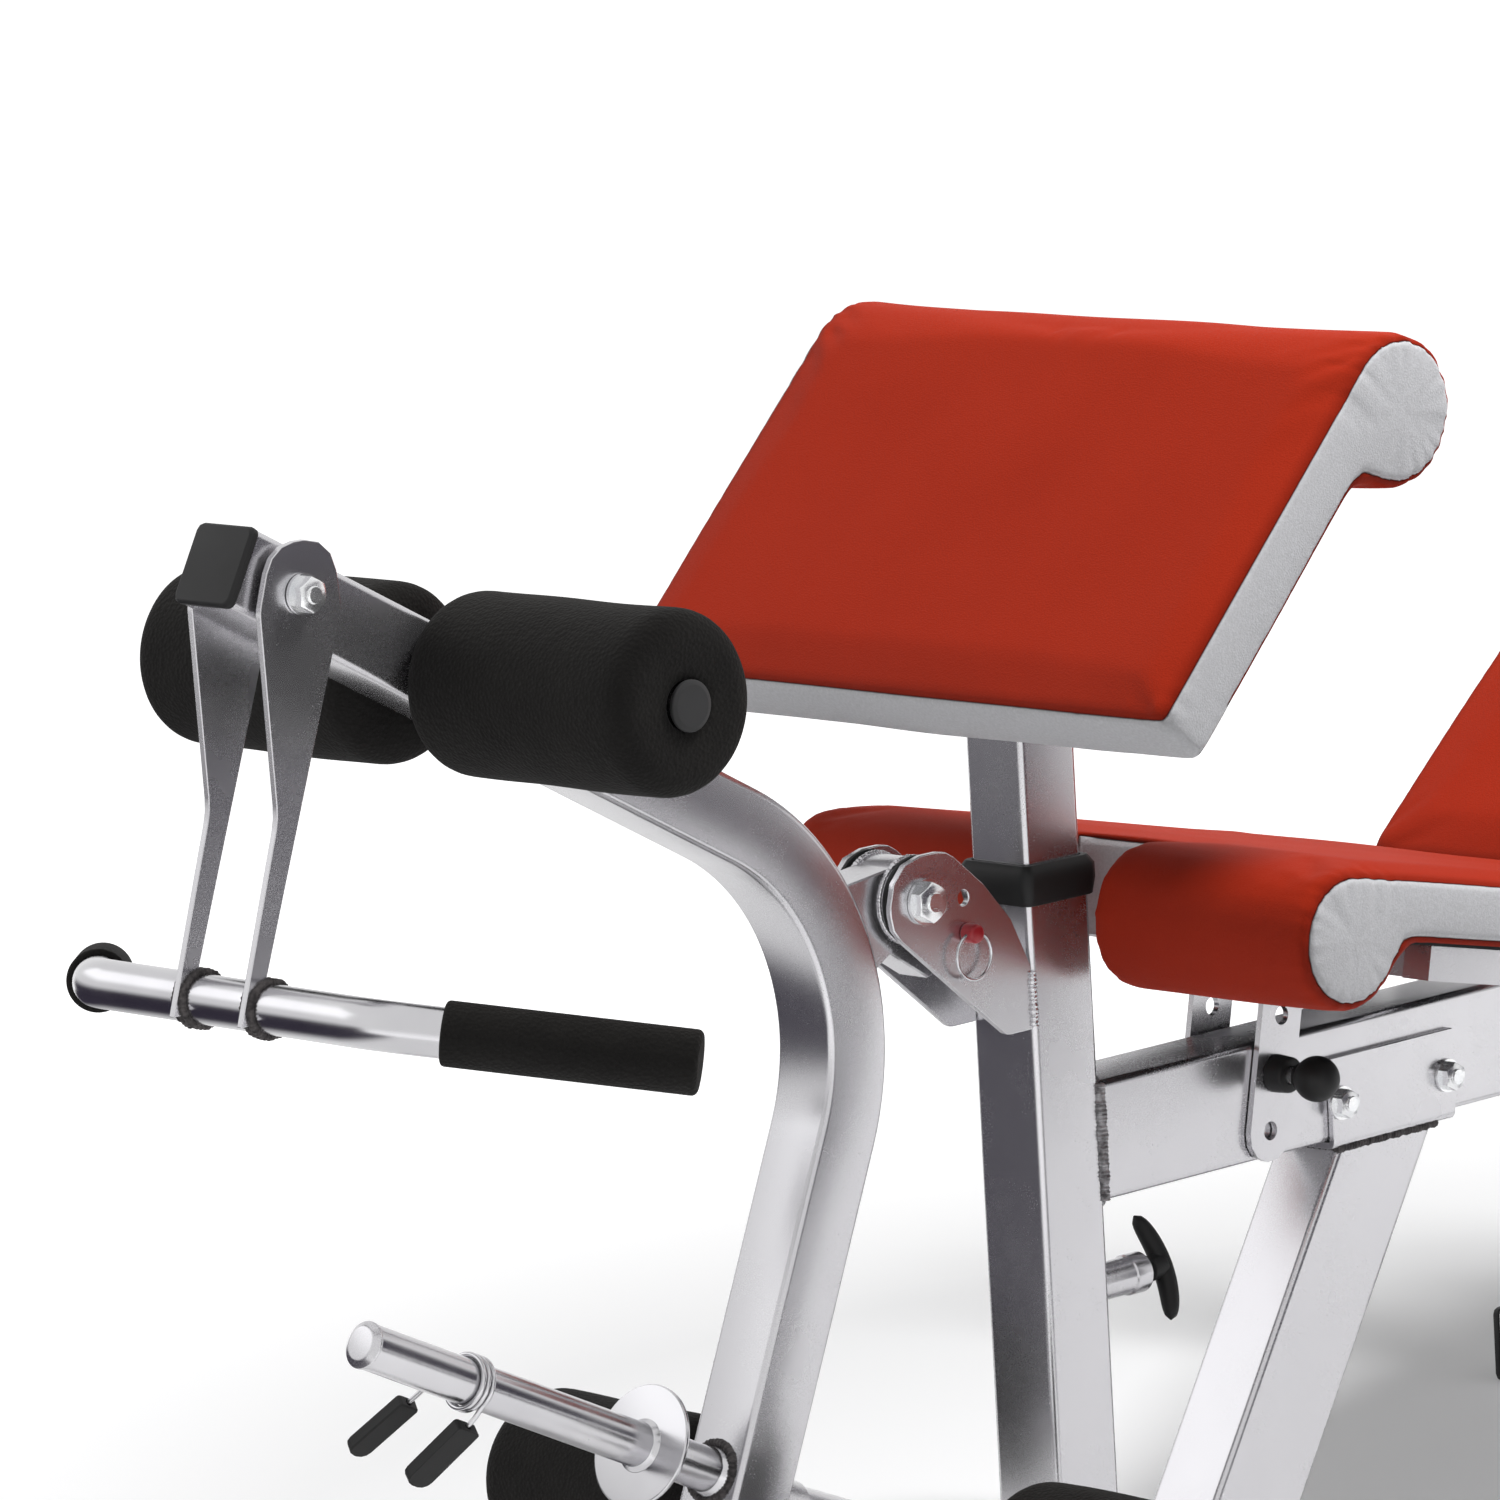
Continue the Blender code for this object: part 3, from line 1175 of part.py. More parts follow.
pin_y = math.cos(SEAT_TILT) * (SEAT_PIN_Y - HINGE_Y) - math.sin(SEAT_TILT) * (SEAT_PIN_Z - HINGE_Z)
pin_z = math.sin(SEAT_TILT) * (SEAT_PIN_Y - HINGE_Y) + math.cos(SEAT_TILT) * (SEAT_PIN_Z - HINGE_Z)
pin_reach = math.hypot(pin_y, pin_z)
step_drop = pin_reach * SEAT_STEP
half_w = SEAT_PLATE_W / 2
plate_x = BEAM_W / 2 + GAP + 0.0005
hole_r = SEAT_PIN_D / 2 + SLIDE
for side, sign in (("right", 1), ("left", -1)):
    flange = plate(
        "seat_plate_" + side,
        rounded(
            [
                (pin_y - half_w, rail_mid, 0.0),
                (pin_y - half_w, pin_z - step_drop - half_w * 1.1, half_w * 0.95),
                (pin_y + half_w, pin_z - step_drop - half_w * 1.1, half_w * 0.95),
                (pin_y + half_w, rail_mid, 0.0),
            ]
        ),
        PLATE,
        [
            circle(pin_y, pin_z, hole_r, 16),
            circle(pin_y, pin_z + step_drop, hole_r, 16),
            circle(pin_y, pin_z - step_drop, hole_r, 16),
        ],
    )
    flange.data.transform(SIDE.to_4x4())
    flange.location = (sign * (plate_x + PLATE / 2), 0.0, 0.0)
    combine(tie, flange, "UNION")

SEAT_PIN = body("seat_pin_pull", 0.0, 0.0, 0.0, SEAT)
SEAT_PIN["at"] = (0.0, 0.0, 0.0)
SEAT_PIN.location = (plate_x, pin_y, pin_z)
BOSS_LENGTH = 0.012
BALL_R = 0.0135
BALL_AT = 0.062
boss_from = PLATE + GAP
seat_boss = turned(
    "seat_pin_boss",
    [
        (0.0085, boss_from + BOSS_LENGTH),
        (0.0105, boss_from + BOSS_LENGTH - 0.002),
        (0.0115, boss_from),
        (hole_r, boss_from),
        (hole_r, boss_from + BOSS_LENGTH),
    ],
    steps=18,
)
put(seat_boss, BLACK, SEAT, (plate_x, pin_y, pin_z), ALONG_X)
ball_mid = BALL_AT - plate_x
neck_from = boss_from + BOSS_LENGTH + 0.0065
ball = arc((0.0, ball_mid), BALL_R, 90.0, -52.0, 8)
seat_pin = turned(
    "seat_pin",
    [
        (0.0, ball_mid + BALL_R),
        *ball[1:],
        (0.0078, neck_from),
        (SEAT_PIN_D / 2, neck_from),
        (SEAT_PIN_D / 2, 0.0012),
        (SEAT_PIN_D / 2 - 0.0012, 0.0),
        (0.0, 0.0),
    ],
    steps=20,
)
put(seat_pin, BLACK, SEAT_PIN, (0.0, 0.0, 0.0), ALONG_X)
for angle in (0.0, SEAT_STEP):
    spot = tilt(angle - SEAT_TILT) @ Vector((0.0, pin_y, pin_z)) + yz(HINGE_Y, HINGE_Z)
    hole_at = (0.0, BEAM_Z - spot.z, spot.y - BEAM_START)
    combine(beam, bore("seat_pin_hole", SEAT_PIN_D + 2 * SLIDE, THROUGH, hole_at), "DIFFERENCE")

# Backrest, in its own frame: the hinge is the origin and +Y runs up the pad
BACK = body("backrest_tilt", HINGE_Y, HINGE_Z)
BACK.rotation_euler = tilt(BACK_ANGLE).to_euler()
BACK["at"] = (0.0, 0.0, 0.0)
back_under = BACK_FACE - BACK_T
back_outline = slab_outline(BACK_START, BACK_START + BACK_LENGTH, BACK_FACE, BACK_T, 0.016)
back = cushion("back_pad", back_outline, BACK_HALF, 0.002, 0.009, back_under)
put(back, VINYL, BACK, (0.0, 0.0, 0.0), None, True)
BACK_RAIL_FROM = 0.030
BACK_RAIL_TO = 0.600
back_rail_mid = back_under - GAP - BACK_RAIL_D / 2
rail_x = BACK_EAR_X + RAIL / 2
BACK_TIE_TOP = 0.060
BACK_TIE_LOW = 0.190
top_tie_at = (0.0, BACK_RAIL_TO - BACK_TIE_TOP, back_rail_mid)
low_tie_at = (0.0, BACK_RAIL_TO - BACK_TIE_LOW, back_rail_mid)
spine = box("back_frame", (2 * rail_x + RAIL, RAIL, BACK_RAIL_D), top_tie_at)
put(spine, SILVER, BACK, (0.0, 0.0, 0.0))
combine(spine, box("back_tie", (2 * rail_x, RAIL, BACK_RAIL_D), low_tie_at), "UNION")
for sign in (1, -1):
    run = BACK_RAIL_TO - BACK_RAIL_FROM
    rail_at = (sign * rail_x, BACK_RAIL_FROM + run / 2, back_rail_mid)
    combine(spine, box("back_rail", (RAIL, run, BACK_RAIL_D), rail_at), "UNION")
    ear_shape = [
        (-EAR_R, -EAR_R, 0.012),
        (0.030, back_rail_mid - BACK_RAIL_D / 2 + 0.001, 0.02),
        (0.080, back_rail_mid - BACK_RAIL_D / 2 + 0.001, 0.0),
        (0.080, back_rail_mid + BACK_RAIL_D / 2 - 0.001, 0.0),
        (0.016, back_rail_mid + BACK_RAIL_D / 2 - 0.001, 0.002),
        (EAR_R, EAR_R, 0.012),
        (-EAR_R, EAR_R, 0.012),
    ]
    ear = plate("back_hinge_ear", rounded(ear_shape), PLATE, [circle(0.0, 0.0, HINGE_BOLT / 2 + SLIDE, 16)])
    ear.data.transform(SIDE.to_4x4())
    ear.location = (sign * (BACK_EAR_X + PLATE / 2), 0.0, 0.0)
    combine(spine, ear, "UNION")

QUADRANT_W = 0.030
first = -math.degrees(QUADRANT_BELOW)
last = first - math.degrees(QUADRANT_SPAN)
outer = arc((0.0, 0.0), QUADRANT_R + QUADRANT_W / 2, first + 7.0, last - 7.0, 10)
inner_edge = arc((0.0, 0.0), QUADRANT_R - QUADRANT_W / 2, last - 7.0, first + 7.0, 10)
web = [
    (QUADRANT_R * math.cos(math.radians(first + 8.0)) + 0.002, back_rail_mid),
    (QUADRANT_R * math.cos(math.radians(first + 8.0)) + 0.034, back_rail_mid),
]
quadrant_holes = []
for k in range(QUADRANT_STEPS + 1):
    at = -QUADRANT_BELOW - QUADRANT_SPAN * k / QUADRANT_STEPS
    hole_y = QUADRANT_R * math.cos(at)
    hole_z = QUADRANT_R * math.sin(at)
    quadrant_holes.append(circle(hole_y, hole_z, PIN_D / 2 + SLIDE, 10))
sector = plate("back_quadrant", [*outer, *inner_edge, *web], PLATE, quadrant_holes)
sector.data.transform(SIDE.to_4x4())
sector.location = (BACK_EAR_X + PLATE / 2, 0.0, 0.0)
combine(spine, sector, "UNION")

BACK_PIN_TIP = BACK_EAR_X - GAP
back_pin_y = HINGE_Y + QUADRANT_R * math.cos(QUADRANT_BELOW)
back_pin_z = HINGE_Z - QUADRANT_R * math.sin(QUADRANT_BELOW)
BACK_PIN = body("back_pin_pull", back_pin_y, back_pin_z)
hole_at = (0.0, BEAM_Z - back_pin_z, back_pin_y - BEAM_START)
combine(beam, bore("back_pin_hole", PIN_D + 2 * SLIDE, THROUGH, hole_at), "DIFFERENCE")


def pull_pin(name, tip, knob, ball_r):
    """Pin along local Z: its tip at 0 and its ball knob's middle at the given height."""
    head = arc((0.0, knob), ball_r, 90.0, -55.0, 6)
    return turned(
        name,
        [
            (0.0, knob + ball_r),
            *head[1:],
            (0.0075, knob - ball_r - 0.006),
            (PIN_D / 2, knob - ball_r - 0.006),
            (PIN_D / 2, tip + 0.001),
            (PIN_D / 2 - 0.001, tip),
            (0.0, tip),
        ],
        steps=12,
    )


KNOB_R = 0.013
BACK_KNOB = BACK_PIN_TIP + BEAM_W / 2 + 0.030
back_pin_turn = Matrix.Rotation(-math.pi / 2, 3, "Y")
back_pin = pull_pin("back_pin", 0.0, BACK_KNOB, KNOB_R)
put(back_pin, BLACK, BACK_PIN, (BACK_PIN_TIP, back_pin_y, back_pin_z), back_pin_turn)

# Barbell catches: inner posts that telescope in the uprights, with a hook on top
for side, sign in (("right", 1), ("left", -1)):
    CATCH = body("catch_height_" + side, REAR_Y, CATCH_PIN_Z, sign * UPRIGHT_X)
    hook_mid = CATCH_TOP - CATCH_BASE
    catch = box_tube("bar_catch_" + side, INNER, INNER, straight(hook_mid - CATCH_R - CATCH_T + 0.001))
    put(catch, SILVER, CATCH, (sign * UPRIGHT_X, REAR_Y, CATCH_BASE))
    big = CATCH_R + CATCH_T
    hook_shape = [(-big, CATCH_BACK), *arc((0.0, 0.0), big, 180.0, 360.0, 9)]
    hook_shape += [(big, CATCH_LIP), (CATCH_R, CATCH_LIP)]
    hook_shape += [*arc((0.0, 0.0), CATCH_R, 360.0, 180.0, 9), (-CATCH_R, CATCH_BACK)]
    hook = plate("hook", hook_shape, INNER - 2 * CATCH_INSET)
    hook.data.transform(SIDE.to_4x4())
    hook.location = (0.0, 0.0, hook_mid)
    combine(catch, hook, "UNION")
    seat_w = INNER + 2 * CATCH_INSET
    seat_mid = hook_mid - CATCH_R - CATCH_INSET / 2 - CATCH_T / 2
    top_plate = box("hook_seat", (seat_w, seat_w, CATCH_T), (0.0, 0.0, seat_mid))
    combine(catch, top_plate, "UNION")
    for k in range(-2, 3):
        z = CATCH_PIN_Z - CATCH_BASE - k * CATCH_STEP
        drill = bore("catch_step", PIN_D + 2 * SLIDE, 0.008, (sign * INNER / 2, 0.0, z), "X", 12)
        combine(catch, drill, "DIFFERENCE")
    tip_x = sign * (UPRIGHT_X + INNER / 2 + GAP)
    PULL = body("catch_pin_pull_" + side, REAR_Y, CATCH_PIN_Z, tip_x)
    pin = pull_pin("catch_pin_" + side, 0.0, CATCH_KNOB, KNOB_R)
    put(pin, BLACK, PULL, (tip_x, REAR_Y, CATCH_PIN_Z), Matrix.Rotation(sign * math.pi / 2, 3, "Y"))

# Lever stop pin with its pull ring
STOP = body("stop_pin_pull", STOP_Y, STOP_Z)
stop_out = PIVOT_INSET + PLATE
stop = turned(
    "stop_pin",
    [
        (0.0, stop_out + 0.0105),
        (0.0042, stop_out + 0.0100),
        (0.0056, stop_out + 0.0085),
        (0.0056, stop_out + 0.0006),
        (STOP_D / 2, stop_out + 0.0006),
        (STOP_D / 2, -stop_out - 0.003),
        (STOP_D / 2 - 0.0012, -stop_out - 0.0045),
        (0.0, -stop_out - 0.0045),
    ],
    steps=16,
)
put(stop, RED, STOP, (0.0, STOP_Y, STOP_Z), ALONG_X)
ring_wire = 0.0022
ring_x = stop_out + 0.0055
combine(stop, bore("ring_eye", ring_wire + 0.0024, 0.03, (0.0, 0.0, ring_x), "Y", 10), "DIFFERENCE")
ring_sag = 0.0006 - RING_D / 2
loop = []
for k in range(20):
    angle = 2 * math.pi * k / 20
    loop.append((0.0, RING_D / 2 * math.sin(angle), ring_sag + (RING_D / 2) * math.cos(angle)))
ring = wire("stop_ring", loop, ring_wire, True, 1)
put(ring, CHROME, STOP, (ring_x, STOP_Y, STOP_Z), None, True)
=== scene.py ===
"""Looks of a bench press bench with arm-curl pad and leg lever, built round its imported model."""

import json
import math

import bmesh
import bpy
import numpy as np
from mathutils import Matrix, Vector

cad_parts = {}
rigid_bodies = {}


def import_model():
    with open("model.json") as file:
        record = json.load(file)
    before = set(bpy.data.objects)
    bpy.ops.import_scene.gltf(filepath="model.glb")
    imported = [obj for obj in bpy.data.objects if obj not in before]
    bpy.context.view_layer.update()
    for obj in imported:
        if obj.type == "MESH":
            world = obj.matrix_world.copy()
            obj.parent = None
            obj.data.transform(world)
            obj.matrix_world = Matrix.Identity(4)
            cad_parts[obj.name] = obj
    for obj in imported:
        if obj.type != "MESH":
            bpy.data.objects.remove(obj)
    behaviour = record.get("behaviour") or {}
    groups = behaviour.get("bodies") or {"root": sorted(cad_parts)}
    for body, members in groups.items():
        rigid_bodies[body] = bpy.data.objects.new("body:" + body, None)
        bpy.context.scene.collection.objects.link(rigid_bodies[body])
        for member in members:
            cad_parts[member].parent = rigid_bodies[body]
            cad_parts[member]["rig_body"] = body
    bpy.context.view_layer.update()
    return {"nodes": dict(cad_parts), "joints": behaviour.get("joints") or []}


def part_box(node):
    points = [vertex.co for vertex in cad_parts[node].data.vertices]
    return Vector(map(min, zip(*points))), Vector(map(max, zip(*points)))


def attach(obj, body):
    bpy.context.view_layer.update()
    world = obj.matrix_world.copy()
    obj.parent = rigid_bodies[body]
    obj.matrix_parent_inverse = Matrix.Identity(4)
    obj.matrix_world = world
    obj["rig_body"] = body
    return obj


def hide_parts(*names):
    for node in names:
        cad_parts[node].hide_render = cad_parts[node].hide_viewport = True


for old in list(bpy.data.objects):
    bpy.data.objects.remove(old, do_unlink=True)
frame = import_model()
nodes = frame["nodes"]
joints = {joint["name"]: joint for joint in frame["joints"]}
scene = bpy.context.scene
scene.view_settings.view_transform = "Standard"

# The camera stands to the right of the leg lever, a little above the bench, with a long lens.
# Its place was worked out from edges of the frame whose real directions are known.
RIGHT = Vector((1.0, 0.0, 0.0))
REARWARD = Vector((0.0, 1.0, 0.0))
UP = Vector((0.0, 0.0, 1.0))
AZIMUTH = math.radians(46.93)
PITCH = math.radians(9.19)
ROLL = math.radians(-3.252)
DISTANCE = 4.967
AIM = Vector((0.0, -0.2097, 0.6046))


def framed(at, x_way, y_way, z_way):
    """Matrix at a point, with three directions as its local axes."""
    return Matrix.Translation(at) @ Matrix((x_way, y_way, z_way)).transposed().to_4x4()


level = Vector((math.cos(AZIMUTH), math.sin(AZIMUTH), 0.0))
ahead = UP.cross(level) * math.cos(PITCH) - UP * math.sin(PITCH)
upright = level.cross(ahead)
across = level * math.cos(ROLL) + upright * math.sin(ROLL)
above = upright * math.cos(ROLL) - level * math.sin(ROLL)
camera = bpy.data.objects.new("camera", bpy.data.cameras.new("camera"))
camera.data.sensor_width = 36.0
camera.data.lens = 216.2
camera.data.clip_end = 100.0
camera.matrix_world = framed(AIM - ahead * DISTANCE, across, above, -ahead)
scene.collection.objects.link(camera)
scene.camera = camera


# Fixed steelwork: square and rectangular tube, cut to length and welded, with the plates that carry
# the lever and the channel that holds the brace under the beam. All of it is painted as one.
class Reading:
    """A value that changes over a surface, so that sums on it read as plain arithmetic."""

    def __init__(self, tree, socket):
        self.tree = tree
        self.socket = socket

    def math(self, operation, other=None, swapped=False, clamp=False):
        node = self.tree.nodes.new("ShaderNodeMath")
        node.operation = operation
        node.use_clamp = clamp
        for place, value in enumerate((other, self) if swapped else (self, other)):
            if isinstance(value, Reading):
                self.tree.links.new(value.socket, node.inputs[place])
            elif value is not None:
                node.inputs[place].default_value = value
        return Reading(self.tree, node.outputs[0])

    def __add__(self, other):
        return self.math("ADD", other)

    def __sub__(self, other):
        return self.math("SUBTRACT", other)

    def __rsub__(self, other):
        return self.math("SUBTRACT", other, True)

    def __mul__(self, other):
        return self.math("MULTIPLY", other)

    def __truediv__(self, other):
        return self.math("DIVIDE", other)

    __radd__ = __add__
    __rmul__ = __mul__

    def size(self):
        return self.math("ABSOLUTE")

    def over(self, limit, soft):
        """0 below the limit, rising to 1 over the soft width."""
        return ((self - limit) / soft).math("ADD", 0.0, clamp=True)


class Nodes:
    """A node tree that is written one node at a time."""

    def node(self, kind, sockets=None, output=0, **settings):
        made = self.tree.nodes.new(kind)
        for key, value in settings.items():
            setattr(made, key, value)
        for key, value in (sockets or {}).items():
            if isinstance(value, Reading):
                self.tree.links.new(value.socket, made.inputs[key])
            else:
                made.inputs[key].default_value = value
        return Reading(self.tree, made.outputs[output])


class Finish(Nodes):
    """One node material, with its Principled shader."""

    def __init__(self, name):
        self.made = bpy.data.materials.new(name)
        self.made.use_nodes = True
        self.tree = self.made.node_tree
        self.shader = self.tree.nodes["Principled BSDF"]

    def place(self, scale=(1.0, 1.0, 1.0)):
        spot = self.node("ShaderNodeTexCoord", output="Object")
        return self.node("ShaderNodeMapping", {"Vector": spot, "Scale": scale})

    def noise(self, scale, detail=2.0, spot=None):
        sockets = {"Vector": spot or self.place(), "Scale": scale, "Detail": detail}
        return self.node("ShaderNodeTexNoise", sockets)

    def cells(self, scale, output="Distance"):
        return self.node("ShaderNodeTexVoronoi", {"Vector": self.place(), "Scale": scale}, output)

    def mix(self, share, first, second):
        first, second = [(*c, 1.0) if isinstance(c, tuple) else c for c in (first, second)]
        return self.node("ShaderNodeMix", {0: share, 6: first, 7: second}, 2, data_type="RGBA")

    def bump(self, height, distance, strength=1.0, under=None):
        sockets = {"Height": height, "Distance": distance, "Strength": strength}
        if under is not None:
            sockets["Normal"] = under
        return self.node("ShaderNodeBump", sockets)

    def wear(self, **sockets):
        """Sets the shader's sockets, named with _ for a space, and gives the material back."""
        for key, value in sockets.items():
            target = self.shader.inputs[key.replace("_", " ")]
            if isinstance(value, Reading):
                self.tree.links.new(value.socket, target)
            else:
                target.default_value = (*value, 1.0) if isinstance(value, tuple) else value
        return self.made


def painted_steel():
    """Silver-grey metallic paint, baked on, with fine flake and a slight orange peel."""
    paint = Finish("silver_paint")
    cloud = paint.noise(5.0, 3.0)
    flake = paint.cells(2600.0, "Color")
    sparkle = paint.node("ShaderNodeSeparateColor", {"Color": flake}).over(0.80, 0.2)
    dull = paint.noise(22.0, 3.0)
    peel = paint.noise(260.0, 1.0)
    tone = paint.mix(cloud.over(0.3, 0.4), (0.56, 0.553, 0.575), (0.61, 0.603, 0.622))
    tone = paint.mix(sparkle * 0.04, tone, (0.80, 0.80, 0.82))
    rough = 0.25 + dull.over(0.35, 0.4) * 0.03 + sparkle * 0.015
    normal = paint.bump(peel, 0.00002, 0.3)
    paint.wear(Coat_Weight=0.2, Coat_Roughness=0.1)
    return paint.wear(Base_Color=tone, Metallic=0.92, Roughness=rough, Normal=normal)


# A look pairs a material with the name of a slot in the record.
PAINT = painted_steel(), "silver_paint"


def piece(name, mesh, look, body, *stands_for):
    """A finished piece: its mesh is already in place, in the bench's own frame."""
    material, slot = look
    made = bpy.data.objects.new(name, mesh)
    scene.collection.objects.link(made)
    mesh.materials.clear()
    mesh.materials.append(material)
    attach(made, body)
    if stands_for:
        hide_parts(*stands_for)
    return made


def worker(name, mesh):
    """An object that holds a mesh while its modifiers work on it."""
    made = bpy.data.objects.new(name + "_worker", mesh)
    scene.collection.objects.link(made)
    return made


def as_mesh(source, name):
    """The evaluated mesh of an object, which is then removed."""
    bpy.context.view_layer.update()
    graph = bpy.context.evaluated_depsgraph_get()
    mesh = bpy.data.meshes.new_from_object(source.evaluated_get(graph), depsgraph=graph)
    mesh.name = name
    bpy.data.objects.remove(source, do_unlink=True)
    return mesh


def modify(source, kind, **settings):
    """Adds a modifier to an object, with its settings."""
    made = source.modifiers.new(kind.lower(), kind)
    for key, value in settings.items():
        setattr(made, key, value)
    return made


def cleaned(mesh, merge, flatten=0.0):
    """Merges a mesh's doubled vertices and, up to an angle in degrees, its flat faces."""
    bm = bmesh.new()
    bm.from_mesh(mesh)
    bmesh.ops.remove_doubles(bm, verts=bm.verts, dist=merge)
    if flatten:
        limit = math.radians(flatten)
        bmesh.ops.dissolve_limit(bm, angle_limit=limit, verts=bm.verts, edges=bm.edges)
    bm.to_mesh(mesh)
    bm.free()
    return mesh


SHARP = math.radians(50.0)


def eased(name, look, radius=0.0007):
    """A pressed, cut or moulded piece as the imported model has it, with its sharp edges broken."""
    mesh = cleaned(nodes[name].data.copy(), 2e-6, 0.6)
    source = worker(name, mesh)
    modify(source, "BEVEL", width=radius, segments=2, limit_method="ANGLE", angle_limit=SHARP)
    mesh.shade_smooth()
    mesh.set_sharp_from_angle(angle=SHARP)
    modify(source, "WEIGHTED_NORMAL", keep_sharp=True)
    return piece(name + "_finished", as_mesh(source, name), look, nodes[name]["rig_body"], name)


STEELWORK = [
    "front_post", "front_foot", "rear_foot", "main_beam", "front_brace", "upright_right", "upright_left",
    "upright_crossbar", "pivot_plate_right", "pivot_plate_left", "seat_frame", "back_frame",
    "bar_catch_right", "bar_catch_left", "arm_pad_post", "hanger_right", "hanger_left",
]
for name in STEELWORK:
    eased(name, PAINT)

# Leg lever: one square tube, bent on a mandrel, with the pivot tube, its gusset, the stop tab and the
# turned roller carrier welded on. It is painted with the frame, before its rollers are fitted.
ARM = 0.044
ARM_CORNER = 0.004
ARM_RISE = math.radians(28.9)
ARM_LEAN = math.radians(23.2)
ARM_BEND = 0.147
ARM_UP = 0.5266
ARM_DOWN = 0.412
PIVOT_BORE_R = 0.014
PIVOT_TUBE_R = 0.024
PIVOT_TUBE_HALF = 0.0175
GUSSET_HALF = 0.014
CARRIER_R = 0.018
LOWER_BAR_BACK = 0.1072
to_end = Vector((0.0, -math.cos(ARM_RISE), math.sin(ARM_RISE)))
to_foot = Vector((0.0, -math.sin(ARM_LEAN), -math.cos(ARM_LEAN)))
arm_back = Vector((0.0, math.cos(ARM_LEAN), -math.sin(ARM_LEAN)))
corner_at = Vector((0.0, -0.1189, 0.5032))
pivot_at = Vector(joints["lever_swing"]["pos_m"])
beside_pivot = framed(pivot_at, REARWARD, UP, RIGHT)
carrier_foot = corner_at + to_foot * 0.3415
half_turn = (math.pi - to_end.angle(to_foot)) / 2
bend_middle = corner_at + (to_end + to_foot).normalized() * (ARM_BEND / math.cos(half_turn))


def softened(corners, steps=4, closed=True):
    """Outline of (a, b, radius) corners, with each corner turned on an arc."""
    out = []
    count = len(corners)
    for i, (a, b, radius) in enumerate(corners):
        end = not closed and i in (0, count - 1)
        here = Vector((a, b))
        before = (Vector(corners[i - 1][:2]) - here).normalized()
        after = (Vector(corners[(i + 1) % count][:2]) - here).normalized()
        if end or radius < 1e-6 or before.angle(after) > 3.12:
            out.append((a, b))
            continue
        opening = before.angle(after)
        start = here + before * (radius / math.tan(opening / 2))
        middle = here + (before + after).normalized() * (radius / math.sin(opening / 2))
        side = 1.0 if before.cross(after) < 0 else -1.0
        for k in range(steps + 1):
            turn = Matrix.Rotation(side * (math.pi - opening) * k / steps, 2)
            out.append(tuple(middle + turn @ (start - middle)))
    return out


def square(size, corner):
    half = size / 2
    corners = [(-half, -half), (half, -half), (half, half), (-half, half)]
    return softened([(a, b, corner) for a, b in corners])


def around(steps):
    """Angles in equal steps round a full turn."""
    return [2 * math.pi * k / steps for k in range(steps)]


def disc(radius, sides):
    return [(radius * math.cos(a), radius * math.sin(a)) for a in around(sides)]


def station(at, along, side=RIGHT, scale=1.0):
    """Places a section across a path: its first axis lies along the side direction."""
    third = along.cross(side).normalized()
    return framed(at, side.normalized(), third, along.normalized()) @ Matrix.Scale(scale, 4)


def skin(bm, rings, closed=False, capped=False):
    """Faces from each ring of vertices to the next. A ring of one vertex is a point."""
    pairs = list(zip(rings, rings[1:]))
    if closed:
        pairs.append((rings[-1], rings[0]))
    count = max(len(ring) for ring in rings)
    for low, high in pairs:
        for k in range(count):
            j = (k + 1) % count
            loop = [low[k % len(low)], low[j % len(low)], high[j % len(high)], high[k % len(high)]]
            bm.faces.new(list(dict.fromkeys(loop)))
    if capped:
        bm.faces.new(list(reversed(rings[0])))
        bm.faces.new(rings[-1])


def sweep(bm, section, stations, closed=False):
    """Carries a section through its stations, and caps its ends."""
    flat = [Vector((a, b, 0.0)) for a, b in section]
    rings = [[bm.verts.new(where @ spot) for spot in flat] for where in stations]
    skin(bm, rings, closed, capped=not closed)


def lathe(bm, profile, where, steps=48, closed=False):
    """Turns (radius, height) pairs about the local Z of a matrix. A radius of 0 lies on the axis."""
    rings = []
    for radius, height in profile:
        spokes = [0.0] if radius < 1e-6 else around(steps)
        ring = [Vector((radius * math.cos(a), radius * math.sin(a), height)) for a in spokes]
        rings.append([bm.verts.new(where @ point) for point in ring])
    skin(bm, rings, closed)


def drawn_in(outline, edge):
    """The same outline, drawn in by the edge width. It runs anticlockwise."""
    out = []
    count = len(outline)
    for i in range(count):
        before = (Vector(outline[i]) - Vector(outline[i - 1])).normalized()
        after = (Vector(outline[(i + 1) % count]) - Vector(outline[i])).normalized()
        along = (before + after).normalized()
        reach = edge / max(0.5, along.dot(after))
        out.append((outline[i][0] - along.y * reach, outline[i][1] + along.x * reach))
    return out


def slab(bm, outline, thickness, where, edge):
    """Flat plate with its rims broken. Its middle lies in the local XY plane of the matrix."""
    inner = drawn_in(outline, edge)
    half = thickness / 2
    layers = [(inner, -half), (outline, edge - half), (outline, half - edge), (inner, half)]
    rings = [[bm.verts.new(where @ Vector((a, b, h))) for a, b in loop] for loop, h in layers]
    skin(bm, rings, capped=True)


def finished(bm, name, sharp=40.0):
    """A mesh with its normals outwards, smooth except over its sharp edges."""
    bmesh.ops.recalc_face_normals(bm, faces=bm.faces)
    mesh = bpy.data.meshes.new(name)
    bm.to_mesh(mesh)
    bm.free()
    mesh.shade_smooth()
    mesh.set_sharp_from_angle(angle=math.radians(sharp))
    return mesh


